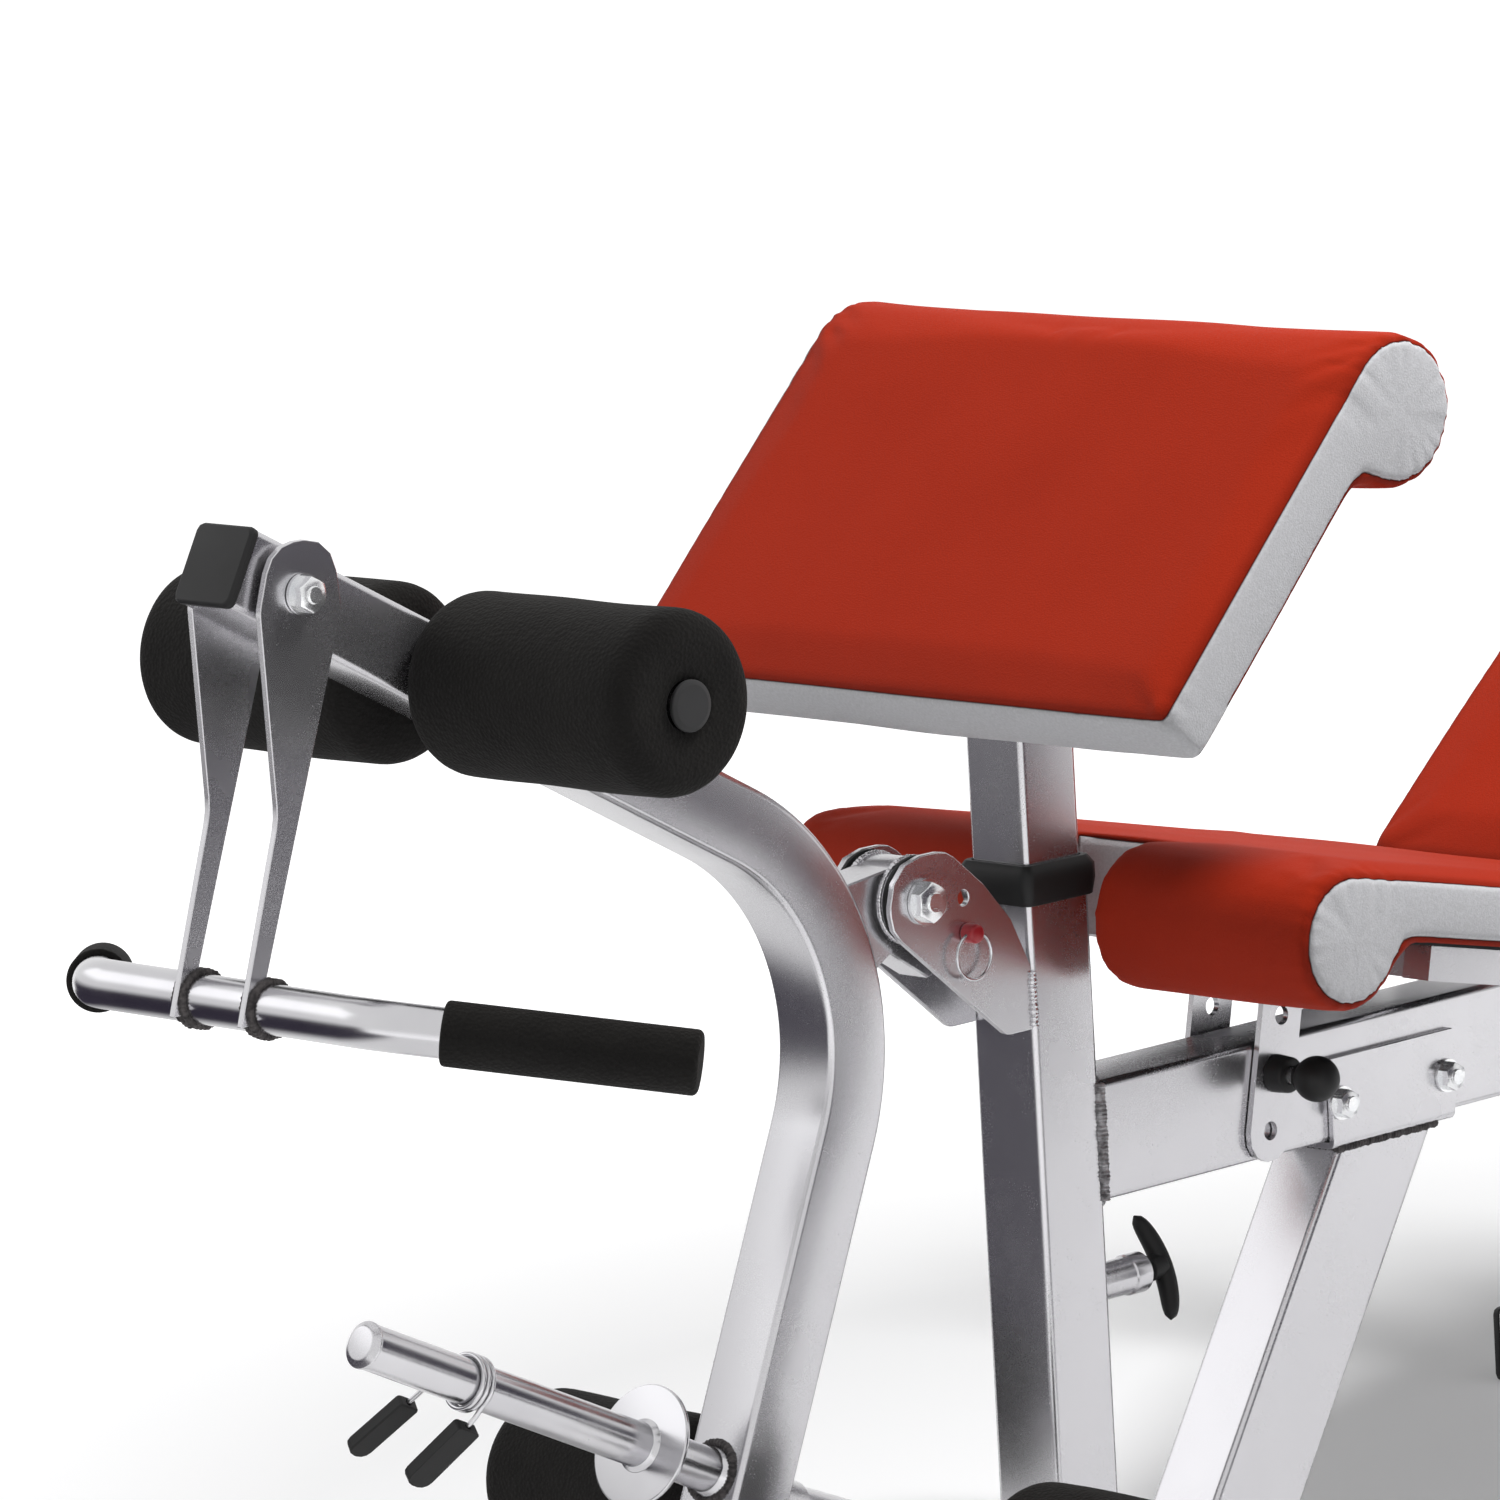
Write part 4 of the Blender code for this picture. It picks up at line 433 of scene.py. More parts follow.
def lever_tube(bm):
    """The square tube from its lower end, round the bend, to its upper end."""
    path = [station(corner_at + to_foot * ARM_DOWN, -to_foot)]
    spoke = corner_at + to_foot * (ARM_BEND * math.tan(half_turn)) - bend_middle
    for k in range(33):
        turn = Matrix.Rotation(2 * half_turn * k / 32, 3, "X")
        path.append(station(bend_middle + turn @ spoke, turn @ -to_foot))
    path.append(station(corner_at + to_end * ARM_UP, to_end))
    sweep(bm, square(ARM, ARM_CORNER), path)


def pivot_tube(bm):
    """Short tube across the lever, which turns on the pivot bolt's bushing."""
    sleeve = [
        (PIVOT_BORE_R, -PIVOT_TUBE_HALF, 0),
        (PIVOT_TUBE_R, -PIVOT_TUBE_HALF, 0.001),
        (PIVOT_TUBE_R, PIVOT_TUBE_HALF, 0.001),
        (PIVOT_BORE_R, PIVOT_TUBE_HALF, 0),
    ]
    where = Matrix.Translation(pivot_at) @ Matrix.Rotation(math.pi / 2, 4, "Y")
    lathe(bm, softened(sleeve), where, 64, True)


def gusset(bm):
    """Plate between the pivot tube and the outside of the bend, which its rear edge follows."""
    from_middle = pivot_at - bend_middle
    start = math.atan2(from_middle.z, from_middle.y)
    reach = ARM_BEND + ARM / 2 - 0.003
    outline = []
    for k in range(9):
        a = start + math.radians(-9.0 + 20.0 * k / 8)
        spot = bend_middle + Vector((0.0, math.cos(a), math.sin(a))) * reach - pivot_at
        outline.append((spot.y, spot.z))
    outline += [(-0.006, 0.021), (0.0, 0.0), (-0.004, -0.021)]
    slab(bm, list(reversed(outline)), 2 * GUSSET_HALF, beside_pivot, 0.001)


def stop_tab(bm):
    """Block below the pivot tube whose flat end comes to rest on the stop pin."""
    to_stop = Vector((0.032, -0.023))
    outward = to_stop.normalized()
    approach = Vector((-outward.y, outward.x))
    face = to_stop - approach * 0.0045
    outline = [
        (-0.020, -0.012),
        (-0.015, -0.029),
        (0.013, -0.047),
        (0.027, -0.043),
        tuple(face + outward * 0.006),
        tuple(face - outward * 0.006),
        (0.012, -0.012),
    ]
    slab(bm, outline, 0.024, beside_pivot, 0.001)


def roller_carrier(bm):
    """Round arm on a short collar, which holds the lower roller bar behind the lever."""
    collar_r, shaft_r, root = CARRIER_R + 0.001, CARRIER_R - 0.001, ARM / 2
    reach = LOWER_BAR_BACK + CARRIER_R
    profile = [
        (0.0, root - 0.002, 0),
        (collar_r, root - 0.002, 0),
        (collar_r, root + 0.0195, 0.0005),
        (shaft_r, root + 0.0205, 0.0005),
        (shaft_r, reach, 0.003),
        (0.0, reach, 0),
    ]
    lathe(bm, softened(profile, closed=False), station(carrier_foot, arm_back), 48)


bm = bmesh.new()
for part in (lever_tube, pivot_tube, gusset, stop_tab, roller_carrier):
    part(bm)
piece("lever_arm_finished", finished(bm, "lever_arm"), PAINT, "lever", "lever_arm")


# Moulded black parts: end plugs pressed into the tubes, collars over the mouths of the outer posts,
# the bushing in the lever's pivot, the handle of the post pin and the knobs. All are injection moulded.
def moulded_plastic(name, tone, rough):
    """Black plastic with a fine spark-eroded grain, a little polished where hands reach it."""
    plastic = Finish(name)
    smudge = plastic.noise(14.0, 3.0)
    grain = plastic.noise(1500.0, 1.0)
    dark, worn = (tone, tone, tone * 1.03), (tone * 1.5, tone * 1.48, tone * 1.5)
    shade = plastic.mix(smudge.over(0.35, 0.4), dark, worn)
    gloss = rough + smudge.over(0.4, 0.3) * 0.12
    normal = plastic.bump(grain, 0.00006, 0.6)
    plastic.wear(Base_Color=shade, Roughness=gloss, Normal=normal, Specular_IOR_Level=0.28)
    return plastic.made, "black_plastic"


MOULDED = moulded_plastic("black_plastic", 0.013, 0.50)
MOULDINGS = [
    "foot_cap_front_right", "foot_cap_front_left", "foot_cap_rear_right", "foot_cap_rear_left",
    "lever_cap_top", "lever_cap_bottom", "post_collar", "upright_collar_right", "upright_collar_left",
    "clip_grip_outer", "clip_grip_inner",
]
for name in MOULDINGS:
    eased(name, MOULDED, 0.0009)


def corners(name):
    """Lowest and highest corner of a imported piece."""
    return [Vector(corner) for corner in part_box(name)]


def middle_of(name):
    low, high = corners(name)
    return (low + high) / 2


def standing(at, along):
    """Matrix at a point whose local Z runs along a direction."""
    turn = UP.rotation_difference(Vector(along)).to_matrix()
    return Matrix.Translation(at) @ turn.to_4x4()


def turned(name, look, body, profile, places, *stands_for, steps=48, closed=False):
    """A piece turned from (radius, height) pairs about the local Z of each of its places."""
    bm = bmesh.new()
    for where in places:
        lathe(bm, profile, where, steps, closed)
    return piece(name, finished(bm, name), look, body, *stands_for)


def drawn(name, look, body, section, path, *stands_for, closed=False):
    """A piece that carries one section along a path of stations."""
    bm = bmesh.new()
    sweep(bm, section, path, closed)
    return piece(name, finished(bm, name), look, body, *stands_for)


BUSH_R = 0.0258
BUSH_BORE = 0.0065
BUSH_OUT = 0.0207
BUSH_IN = 0.0180
outside = [(BUSH_R, BUSH_IN, 0.0003), (BUSH_R, BUSH_OUT, 0.0006)]
lip = softened([(BUSH_BORE, BUSH_IN, 0), *outside, (BUSH_BORE, BUSH_OUT, 0)], 3)
places = [standing(pivot_at, RIGHT * sign) for sign in (1, -1)]
name = "pivot_bushing"
turned(name + "_finished", MOULDED, "frame", lip, places, name, steps=64, closed=True)

PIN_AXIS = Vector((0.0, 0.0, 0.255))
HANDLE_TURN = math.radians(24.0)
HANDLE_HALF = 0.032
HANDLE_BOW = 0.008
HANDLE_R = 0.0062
HUB_DEPTH = 0.0125


def post_pin_handle():
    """T-handle: a bowed grip that thins towards its ends, on a short hub."""
    grip_along = Vector((-math.sin(HANDLE_TURN), 0.0, math.cos(HANDLE_TURN)))
    grip_y = corners("post_pin_handle")[1].y - 0.00575
    path = []
    for k in range(25):
        share = -1.0 + k / 12
        bow = grip_y - 0.0005 - HANDLE_BOW * share**2
        along = (grip_along * 0.028 - REARWARD * (2 * HANDLE_BOW * share)).normalized()
        side = along.cross(grip_along.cross(REARWARD))
        thin = max(0.0, 1.0 - share**8) ** 0.5 * (1.0 - 0.22 * share**2)
        at = PIN_AXIS + grip_along * (HANDLE_HALF * share) + REARWARD * bow
        path.append(station(at, along, side, max(0.08, thin)))
    bm = bmesh.new()
    sweep(bm, disc(HANDLE_R, 24), path)
    hub = [(0.0, 0.0, 0), (0.0078, 0.0, 0.0010), (0.0070, HUB_DEPTH, 0.002), (0.0, HUB_DEPTH, 0)]
    hub_at = PIN_AXIS + REARWARD * (grip_y - HUB_DEPTH - 0.0003)
    lathe(bm, softened(hub, closed=False), standing(hub_at, REARWARD), 40)
    return finished(bm, "post_pin_handle")


piece("post_pin_handle_finished", post_pin_handle(), MOULDED, "arm_pad_plunger", "post_pin_handle")


def pin_ends(name, way):
    """Tip and far end of a pin that is pulled to the right (1) or to the left (-1)."""
    low, high = corners(name)
    middle = (low + high) / 2
    return [Vector((x, middle.y, middle.z)) for x in (low.x, high.x)][::way]


def ball_knob(name, body, way, ball_r, neck_r, neck_length):
    """Moulded ball knob with its collar, on the axis of a pull pin."""
    tip, far = pin_ends(name, way)
    length = abs(far.x - tip.x) - ball_r
    profile = [(0.0, length + ball_r)]
    for k in range(1, 21):
        a = math.radians(90.0 - 142.0 * k / 20)
        profile.append((ball_r * math.cos(a), length + ball_r * math.sin(a)))
    neck = length - ball_r - neck_length
    profile += [(neck_r - 0.0006, neck + 0.0030), (neck_r, neck + 0.0020)]
    profile += [(neck_r, neck + 0.0006), (neck_r - 0.0006, neck), (0.0, neck)]
    turned(name + "_knob", MOULDED, body, profile, [standing(tip, RIGHT * way)], name)


# Each pull pin: its name, its shank's, its body and way out, the radii of ball and neck, the neck's
# length, the shank's radius and how far the shank ends short of the knob.
PULL_PINS = [
    ("seat_pin", "seat_pin_shank", "seat_plunger", 1, 0.0135, 0.0082, 0.0002, 0.0050, 0.022),
    ("back_pin", "back_pin_shank", "backrest_plunger", -1, 0.0130, 0.0080, 0.0055, 0.0045, 0.020),
]
for side, way in (("right", 1), ("left", -1)):
    names = [start + side for start in ("catch_pin_", "catch_pin_shank_", "catch_plunger_")]
    PULL_PINS.append((*names, way, 0.0130, 0.0080, 0.0055, 0.0045, 0.020))
for name, _, body, way, ball_r, neck_r, neck_length, _, _ in PULL_PINS:
    ball_knob(name, body, way, ball_r, neck_r, neck_length)

boss_low, boss_high = corners("seat_pin_boss")
boss_length = boss_high.x - boss_low.x
BOSS_BORE = 0.0056
outside = [(0.0113, 0.0, 0.0005), (0.0105, boss_length, 0.002)]
boss = softened([(BOSS_BORE, 0.0, 0), *outside, (BOSS_BORE, boss_length, 0.0004)])
boss_at = middle_of("seat_pin")
boss_at.x = boss_low.x
places = [standing(boss_at, RIGHT)]
turned("seat_pin_boss_finished", MOULDED, "seat", boss, places, "seat_pin_boss", closed=True)

# Housing of the post pin: a turned steel sleeve, welded to the back of the front post and painted
# with it.
HOUSING_R = 0.012
HOUSING_BORE = 0.005
housing = softened(
    [
        (HOUSING_BORE, 0.0255, 0),
        (HOUSING_R + 0.002, 0.0255, 0),
        (HOUSING_R - 0.0010, 0.031, 0.001),
        (HOUSING_R - 0.0010, 0.062, 0.0004),
        (HOUSING_R, 0.063, 0.0004),
        (HOUSING_R, 0.075, 0.001),
        (HOUSING_BORE, 0.075, 0.0006),
    ]
)
places = [standing(PIN_AXIS, REARWARD)]
name = "post_pin_housing"
turned(name + "_finished", PAINT, "frame", housing, places, name, closed=True)


# Zinc-plated hardware: the lock pins' shanks, and below them the bolts with their washers and nuts.
# The shanks are turned from bar, with a broken edge at the tip.
def zinc_plate():
    """Bright zinc on turned and rolled steel, with faint bluish clouds and fine scratches."""
    zinc = Finish("zinc_bolts")
    cloud = zinc.noise(60.0, 3.0)
    streak = zinc.noise(240.0, 2.0, zinc.place((1.0, 1.0, 7.0)))
    tone = zinc.mix(cloud.over(0.3, 0.4), (0.74, 0.75, 0.77), (0.88, 0.88, 0.88))
    rough = 0.15 + streak.over(0.3, 0.5) * 0.16
    normal = zinc.bump(streak, 0.00003, 0.5)
    return zinc.wear(Base_Color=tone, Metallic=0.82, Roughness=rough, Normal=normal)


ZINC = zinc_plate(), "zinc_bolts"


def shank(name, start, end, radius, body, *stands_for):
    length = (end - start).length
    profile = [(0.0, 0.0, 0), (radius, 0.0, 0.001), (radius, length, 0), (0.0, length, 0)]
    places = [standing(start, (end - start).normalized())]
    turned(name, ZINC, body, softened(profile, 3, False), places, *stands_for, steps=32)


low, high = corners("post_pin")
start, end = (PIN_AXIS + REARWARD * y for y in (low.y, high.y))
shank("post_pin_finished", start, end, 0.0045, "arm_pad_plunger", "post_pin")
for name, shank_name, body, way, _, _, _, shank_r, short in PULL_PINS:
    tip, far = pin_ends(name, way)
    shank(shank_name, tip, far - RIGHT * way * short, shank_r, body)


# Bolts: hexagon heads with chamfered corners, a plain washer under each end, and the thread showing
# past the nut. One tree makes both ends of a bolt at the two points where it comes out.
class Recipe(Nodes):
    """A Geometry Nodes tree, with named sizes as its inputs."""

    def __init__(self, name, *sizes):
        self.tree = bpy.data.node_groups.new(name, "GeometryNodeTree")
        face = self.tree.interface
        face.new_socket("Geometry", in_out="INPUT", socket_type="NodeSocketGeometry")
        for size in sizes:
            face.new_socket(size, in_out="INPUT", socket_type="NodeSocketFloat")
        face.new_socket("Geometry", in_out="OUTPUT", socket_type="NodeSocketGeometry")
        self.entry = self.tree.nodes.new("NodeGroupInput")
        self.exit = self.tree.nodes.new("NodeGroupOutput")
        self.start = Reading(self.tree, self.entry.outputs["Geometry"])

    def size(self, name):
        return Reading(self.tree, self.entry.outputs[name])

    def lifted(self, shape, z):
        shift = self.node("ShaderNodeCombineXYZ", {"Z": z})
        return self.node("GeometryNodeTransform", {"Geometry": shape, "Translation": shift})

    def cylinder(self, sides, radius, height, foot):
        sizes = {"Vertices": sides, "Radius": radius, "Depth": height}
        return self.lifted(self.node("GeometryNodeMeshCylinder", sizes), foot + height / 2)

    def gathered(self, kind, socket, *shapes, **settings):
        """A node that takes several shapes in one socket."""
        made = self.node(kind, **settings)
        for shape in shapes:
            self.tree.links.new(shape.socket, made.socket.node.inputs[socket])
        return made

    def done(self, shape, material):
        real = self.node("GeometryNodeRealizeInstances", {"Geometry": shape})
        coated = self.node("GeometryNodeSetMaterial", {"Geometry": real, "Material": material})
        self.tree.links.new(coated.socket, self.exit.inputs[0])


def grown(name, points, edges, recipe, sizes, **vectors):
    """The mesh that a recipe makes from points and edges, with its sizes set."""
    mesh = bpy.data.meshes.new(name)
    mesh.from_pydata([tuple(p) for p in points], edges, [])
    for key, values in vectors.items():
        layer = mesh.attributes.new(key, "FLOAT_VECTOR", "POINT")
        layer.data.foreach_set("vector", [c for v in values for c in v])
    source = worker(name, mesh)
    maker = modify(source, "NODES", node_group=recipe.tree)
    for item in recipe.tree.interface.items_tree:
        if item.in_out == "INPUT" and item.name in sizes:
            maker[item.identifier] = sizes[item.name]
    made = as_mesh(source, name)
    made.shade_smooth()
    made.set_sharp_from_angle(angle=math.radians(35.0))
    return made


BOLT_SIZES = ("Across", "Height", "Washer", "Washer Height", "Shank", "Tail")
THREAD_PITCH = 0.0011
THREAD_DEPTH = 0.0006


def bolt_end_recipe():
    """Washer, chamfered hexagon and threaded tail, set on every point along its outward vector."""
    bolt = Recipe("bolt_end", *BOLT_SIZES)
    across, head_h, washer_d, washer_h, shank_d, tail = (bolt.size(name) for name in BOLT_SIZES)
    washer = bolt.cylinder(48, washer_d / 2, washer_h, 0.0)
    prism = bolt.cylinder(6, across / math.sqrt(3.0), head_h, washer_h)
    cone_sizes = {
        "Vertices": 48,
        "Radius Top": across * 0.46,
        "Radius Bottom": across * 0.46 + head_h * 1.9,
        "Depth": head_h * 1.1,
    }
    cone = bolt.node("GeometryNodeMeshCone", cone_sizes)
    cone = bolt.lifted(cone, washer_h - head_h * 0.0999)
    settings = {"operation": "INTERSECT", "solver": "EXACT"}
    head = bolt.gathered("GeometryNodeMeshBoolean", "Mesh 2", prism, cone, **settings)
    core_r = shank_d / 2 - THREAD_DEPTH
    core = bolt.cylinder(24, core_r, head_h + tail, washer_h)
    thread_sizes = {
        "Resolution": 24,
        "Rotations": tail / THREAD_PITCH + 1.0,
        "Start Radius": core_r,
        "End Radius": core_r,
        "Height": tail + 0.0004,
    }
    helix = bolt.node("GeometryNodeCurveSpiral", thread_sizes)
    helix = bolt.lifted(helix, washer_h + head_h - THREAD_DEPTH)
    crest = bolt.node("GeometryNodeCurvePrimitiveCircle", {"Resolution": 4, "Radius": 0.00055})
    wound = {"Curve": helix, "Profile Curve": crest, "Fill Caps": True}
    thread = bolt.node("GeometryNodeCurveToMesh", wound)
    one_end = bolt.gathered("GeometryNodeJoinGeometry", 0, washer, head, core, thread)
    way = bolt.node("GeometryNodeInputNamedAttribute", {"Name": "outward"}, data_type="FLOAT_VECTOR")
    turn = bolt.node("FunctionNodeAlignRotationToVector", {"Vector": way}, axis="Z")
    sockets = {"Points": bolt.start, "Instance": one_end, "Rotation": turn}
    bolt.done(bolt.node("GeometryNodeInstanceOnPoints", sockets), ZINC[0])
    return bolt


BOLT_END = bolt_end_recipe()
SMALL_BOLT = (0.015, 0.0065, 0.020, 0.0018, 0.010, 0.0015)
HINGE_BOLT = (0.017, 0.0070, 0.022, 0.0018, 0.010, 0.0015)
PIVOT_BOLT = (0.0205, 0.0062, 0.026, 0.0022, 0.012, 0.0015)
HANGER_BOLT = (0.017, 0.0075, 0.022, 0.0020, 0.010, 0.0015)
for name, sizes, seat, body in (
    ("brace_bolt_front", SMALL_BOLT, 0.0296, "frame"),
    ("brace_bolt_rear", SMALL_BOLT, 0.0296, "frame"),
    ("hinge_bolt", HINGE_BOLT, 0.0303, "frame"),
    ("pivot_bolt", PIVOT_BOLT, 0.0253, "frame"),
    ("hanger_bolt", HANGER_BOLT, 0.0301, "lever"),
):
    at = middle_of(name)
    points = [(seat, at.y, at.z), (-seat, at.y, at.z)]
    made = grown(name, points, [], BOLT_END, dict(zip(BOLT_SIZES, sizes)), outward=[RIGHT, -RIGHT])
    piece(name + "_finished", made, ZINC, body, name)


# Bright-plated parts: the roller bars, the bent curl bar, the weight peg with its stop disc, the spring
# clip and the pull ring. They are drawn steel, polished and nickel-chrome plated.
def bright_plate():
    """Polished plating over drawn steel, with faint draw lines and a few dull clouds."""
    plate = Finish("bright_plating")
    cloud = plate.noise(18.0, 3.0)
    grain = plate.noise(900.0, 1.0)
    tone = plate.mix(cloud.over(0.3, 0.5), (0.55, 0.545, 0.565), (0.63, 0.625, 0.64))
    rough = 0.21 + cloud.over(0.45, 0.3) * 0.07
    normal = plate.bump(grain, 0.00002, 0.4)
    return plate.wear(Base_Color=tone, Metallic=1.0, Roughness=rough, Normal=normal)


PLATED = bright_plate(), "bright_plating"
PLUG = moulded_plastic("black_plastic_plug", 0.030, 0.55)
PLUG_R = 0.0138
PLUG_HEIGHT = 0.003
BAR_R = 0.0125
plug = softened(
    [
        (0.0, 0.0, 0),
        (PLUG_R, 0.0, 0.0003),
        (PLUG_R, 0.0022, 0.0009),
        (0.011, PLUG_HEIGHT, 0.001),
        (0.0, 0.0026, 0),
    ],
    3,
    False,
)
# Each roller bar: label, middle, half length, and where its foam sleeves start.
ROLLER_BARS = [
    ("upper", Vector(joints["upper_roller_spin"]["pos_m"]), 0.200, 0.024),
    ("lower", Vector(joints["lower_roller_spin"]["pos_m"]), 0.277, 0.127),
]
for label, at, reach, near in ROLLER_BARS:
    body = label + "_rollers"
    half = reach - PLUG_HEIGHT
    bar = [(0.0, -half), (BAR_R, -half), (BAR_R, half), (0.0, half)]
    places = [standing(at, RIGHT)]
    turned(label + "_bar_finished", PLATED, body, bar, places, label + "_roller_bar")
    places = [standing(at + RIGHT * sign * half, RIGHT * sign) for sign in (1, -1)]
    turned(label + "_bar_plugs", PLUG, body, plug, places, steps=40)

CURL_R = 0.0135
CURL_HALF = 0.1128
CURL_BEND = 0.045
CURL_SWEEP = math.radians(40.9)
CURL_TILT = math.radians(13.4)
GRIP_START = 0.0357
GRIP_LENGTH = 0.134
hanger_at = Vector(joints["curl_bar_swing"]["pos_m"])
curl_at = hanger_at + Vector((0.0, -0.0396, -0.2137))
swept = Vector((0.0, math.cos(CURL_TILT), -math.sin(CURL_TILT)))
half_path = []
inner_bend = CURL_BEND * math.tan(CURL_SWEEP / 2)
for k in range(21):
    a = CURL_SWEEP * k / 20
    out = RIGHT * (CURL_HALF - inner_bend + CURL_BEND * math.sin(a))
    spot = out + swept * (CURL_BEND * (1 - math.cos(a)))
    half_path.append((spot, RIGHT * math.cos(a) + swept * math.sin(a)))
grip_way = half_path[-1][1]
bar_end = RIGHT * CURL_HALF + grip_way * (GRIP_START + GRIP_LENGTH - 0.010)
half_path.append((bar_end, grip_way))
mirrored = [
    (Vector((-p.x, p.y, p.z)), Vector((w.x, -w.y, -w.z))) for p, w in reversed(half_path)
]
path = [station(curl_at + p, w, swept.cross(RIGHT)) for p, w in mirrored + half_path]
drawn("curl_bar_finished", PLATED, "curl_handle", disc(CURL_R, 48), path, "curl_bar")

PEG_R = 0.01275
PEG_LENGTH = 0.273
PEG_DISC_AT = 0.0568
PEG_DISC_R = 0.035
PEG_DISC_HALF = 0.0015
PEG_LIFT = ARM_LEAN + math.radians(3.0)
PEG_COLLAR_R = PEG_R + 0.0036
peg_way = Vector((0.0, -math.cos(PEG_LIFT), math.sin(PEG_LIFT)))
peg_foot = corner_at + to_foot * 0.3305 - arm_back * (ARM / 2 + 0.0003)
peg = softened(
    [
        (0.0, -0.0009, 0),
        (PEG_COLLAR_R, -0.0009, 0.0006),
        (PEG_R, 0.005, 0.002),
        (PEG_R, PEG_DISC_AT - PEG_DISC_HALF, 0.0008),
        (PEG_DISC_R, PEG_DISC_AT - PEG_DISC_HALF, 0.0010),
        (PEG_DISC_R, PEG_DISC_AT + PEG_DISC_HALF, 0.0010),
        (PEG_R + 0.0026, PEG_DISC_AT + PEG_DISC_HALF, 0.0006),
        (PEG_R, PEG_DISC_AT + 0.0042, 0.0010),
        (PEG_R, PEG_LENGTH, 0.0006),
        (0.0, PEG_LENGTH, 0),
    ],
    4,
    False,
)
places = [station(peg_foot, peg_way)]
turned("weight_peg_finished", PLATED, "lever", peg, places, "weight_peg", steps=64)
PEG_CAP_R = PEG_R + 0.0006
cap = softened(
    [
        (0.0, 0.0003, 0),
        (PEG_CAP_R, 0.0003, 0.0003),
        (PEG_CAP_R, 0.0016, 0.0008),
        (0.0095, 0.0042, 0.004),
        (0.0, 0.0050, 0),
    ],
    6,
    False,
)
places = [station(peg_foot + peg_way * PEG_LENGTH, peg_way)]
turned("peg_cap_finished", PAINT, "lever", cap, places, "peg_cap", steps=64)

CLIP_AT = 0.194
CLIP_R = 0.0015
CLIP_PITCH = 0.0037
CLIP_TURNS = 2.5
COIL_R = PEG_R + 0.0004 + CLIP_R + 0.0003
COIL_START = math.radians(136.3)


def clip_wire():
    """Points of the clip's wire: one leg, the coil round the peg, the other leg."""
    rise = CLIP_PITCH * CLIP_TURNS / 2
    wire = [Vector((-0.0600, -0.0400, rise)), Vector((-0.0346, -0.0149, rise))]
    for k in range(101):
        a = COIL_START - 2 * math.pi * CLIP_TURNS * k / 100
        wire.append(Vector((COIL_R * math.cos(a), COIL_R * math.sin(a), rise - 2 * rise * k / 100)))
    wire += [Vector((0.0060, -0.0205, -rise)), Vector((-0.0180, -0.0480, -rise))]
    for _ in range(2):
        cut = [wire[0]]
        for a, b in zip(wire, wire[1:]):
            cut += [a.lerp(b, 0.25), a.lerp(b, 0.75)]
        wire = [*cut, wire[-1]]
    return wire


wire = clip_wire()
clip_frame = station(peg_foot + peg_way * CLIP_AT, peg_way)
path = []
side = UP
for k, spot in enumerate(wire):
    along = (wire[min(k + 1, len(wire) - 1)] - wire[max(k - 1, 0)]).normalized()
    side = (side - along * side.dot(along)).normalized()
    path.append(clip_frame @ station(spot, along, side))
drawn("clip_spring_finished", PLATED, "spring_clip", disc(CLIP_R, 12), path, "clip_spring")

RING_R = 0.0135
RING_WIRE = 0.0011
stop_at = middle_of("stop_ring")
path = []
for a in around(72):
    spoke = Vector((0.0, math.sin(a), math.cos(a)))
    path.append(station(stop_at + spoke * RING_R, Vector((0.0, math.cos(a), -math.sin(a)))))
section = disc(RING_WIRE, 12)
drawn("stop_ring_finished", PLATED, "lever_stop", section, path, "stop_ring", closed=True)


# Stop pin: a plated pin through both pivot plates, with a red moulded button over its head, which
# the pull ring goes through.
def red_plastic():
    red = Finish("red_plastic")
    cloud = red.noise(120.0, 2.0)
    shade = red.mix(cloud.over(0.3, 0.4), (0.42, 0.012, 0.022), (0.52, 0.020, 0.030))
    normal = red.bump(red.noise(1400.0), 0.00003, 0.4)
    return red.wear(Base_Color=shade, Roughness=0.32, Normal=normal)


STOP_OUT = 0.025
BUTTON_R = 0.0056
outside = [(BUTTON_R, 0.0006, 0.0006), (BUTTON_R, 0.0095, 0.0022)]
button = softened([(0.0, 0.0006, 0), *outside, (0.0, 0.0105, 0)], 5, False)
tip = pin_ends("stop_pin", 1)[0]
head_at = Vector((STOP_OUT, tip.y, tip.z))
BUTTON = red_plastic(), "red_plastic"
places = [standing(head_at, RIGHT)]
turned("stop_button", BUTTON, "lever_stop", button, places, "stop_pin", steps=40)
shank("stop_pin_shank", tip, head_at + RIGHT * 0.002, 0.004, "lever_stop")


# Foam: four rollers moulded round a tube and slipped on the bars, and two grips pulled over the ends
# of the curl bar. It is closed-cell foam with a matt, finely pebbled skin.
def foam_skin():
    foam = Finish("black_foam")
    cloud = foam.noise(30.0, 4.0)
    pebble = foam.cells(430.0)
    pore = foam.noise(1900.0, 2.0)
    dark, pale = (0.0070, 0.0064, 0.0060), (0.0115, 0.0108, 0.0100)
    shade = foam.mix(cloud.over(0.3, 0.4), dark, pale)
    shade = foam.mix(pore.over(0.58, 0.2) * 0.5, shade, (0.030, 0.029, 0.028))
    normal = foam.bump(pebble, 0.0008, 0.8)
    normal = foam.bump(pore, 0.00025, 0.6, normal)
    return foam.wear(Base_Color=shade, Roughness=0.88, Normal=normal, Specular_IOR_Level=0.22)


FOAM = foam_skin(), "black_foam"
FOAM_R = 0.050
FOAM_RIM = 0.016
FOAM_BORE = 0.0132
FOAM_SWELL = 0.001


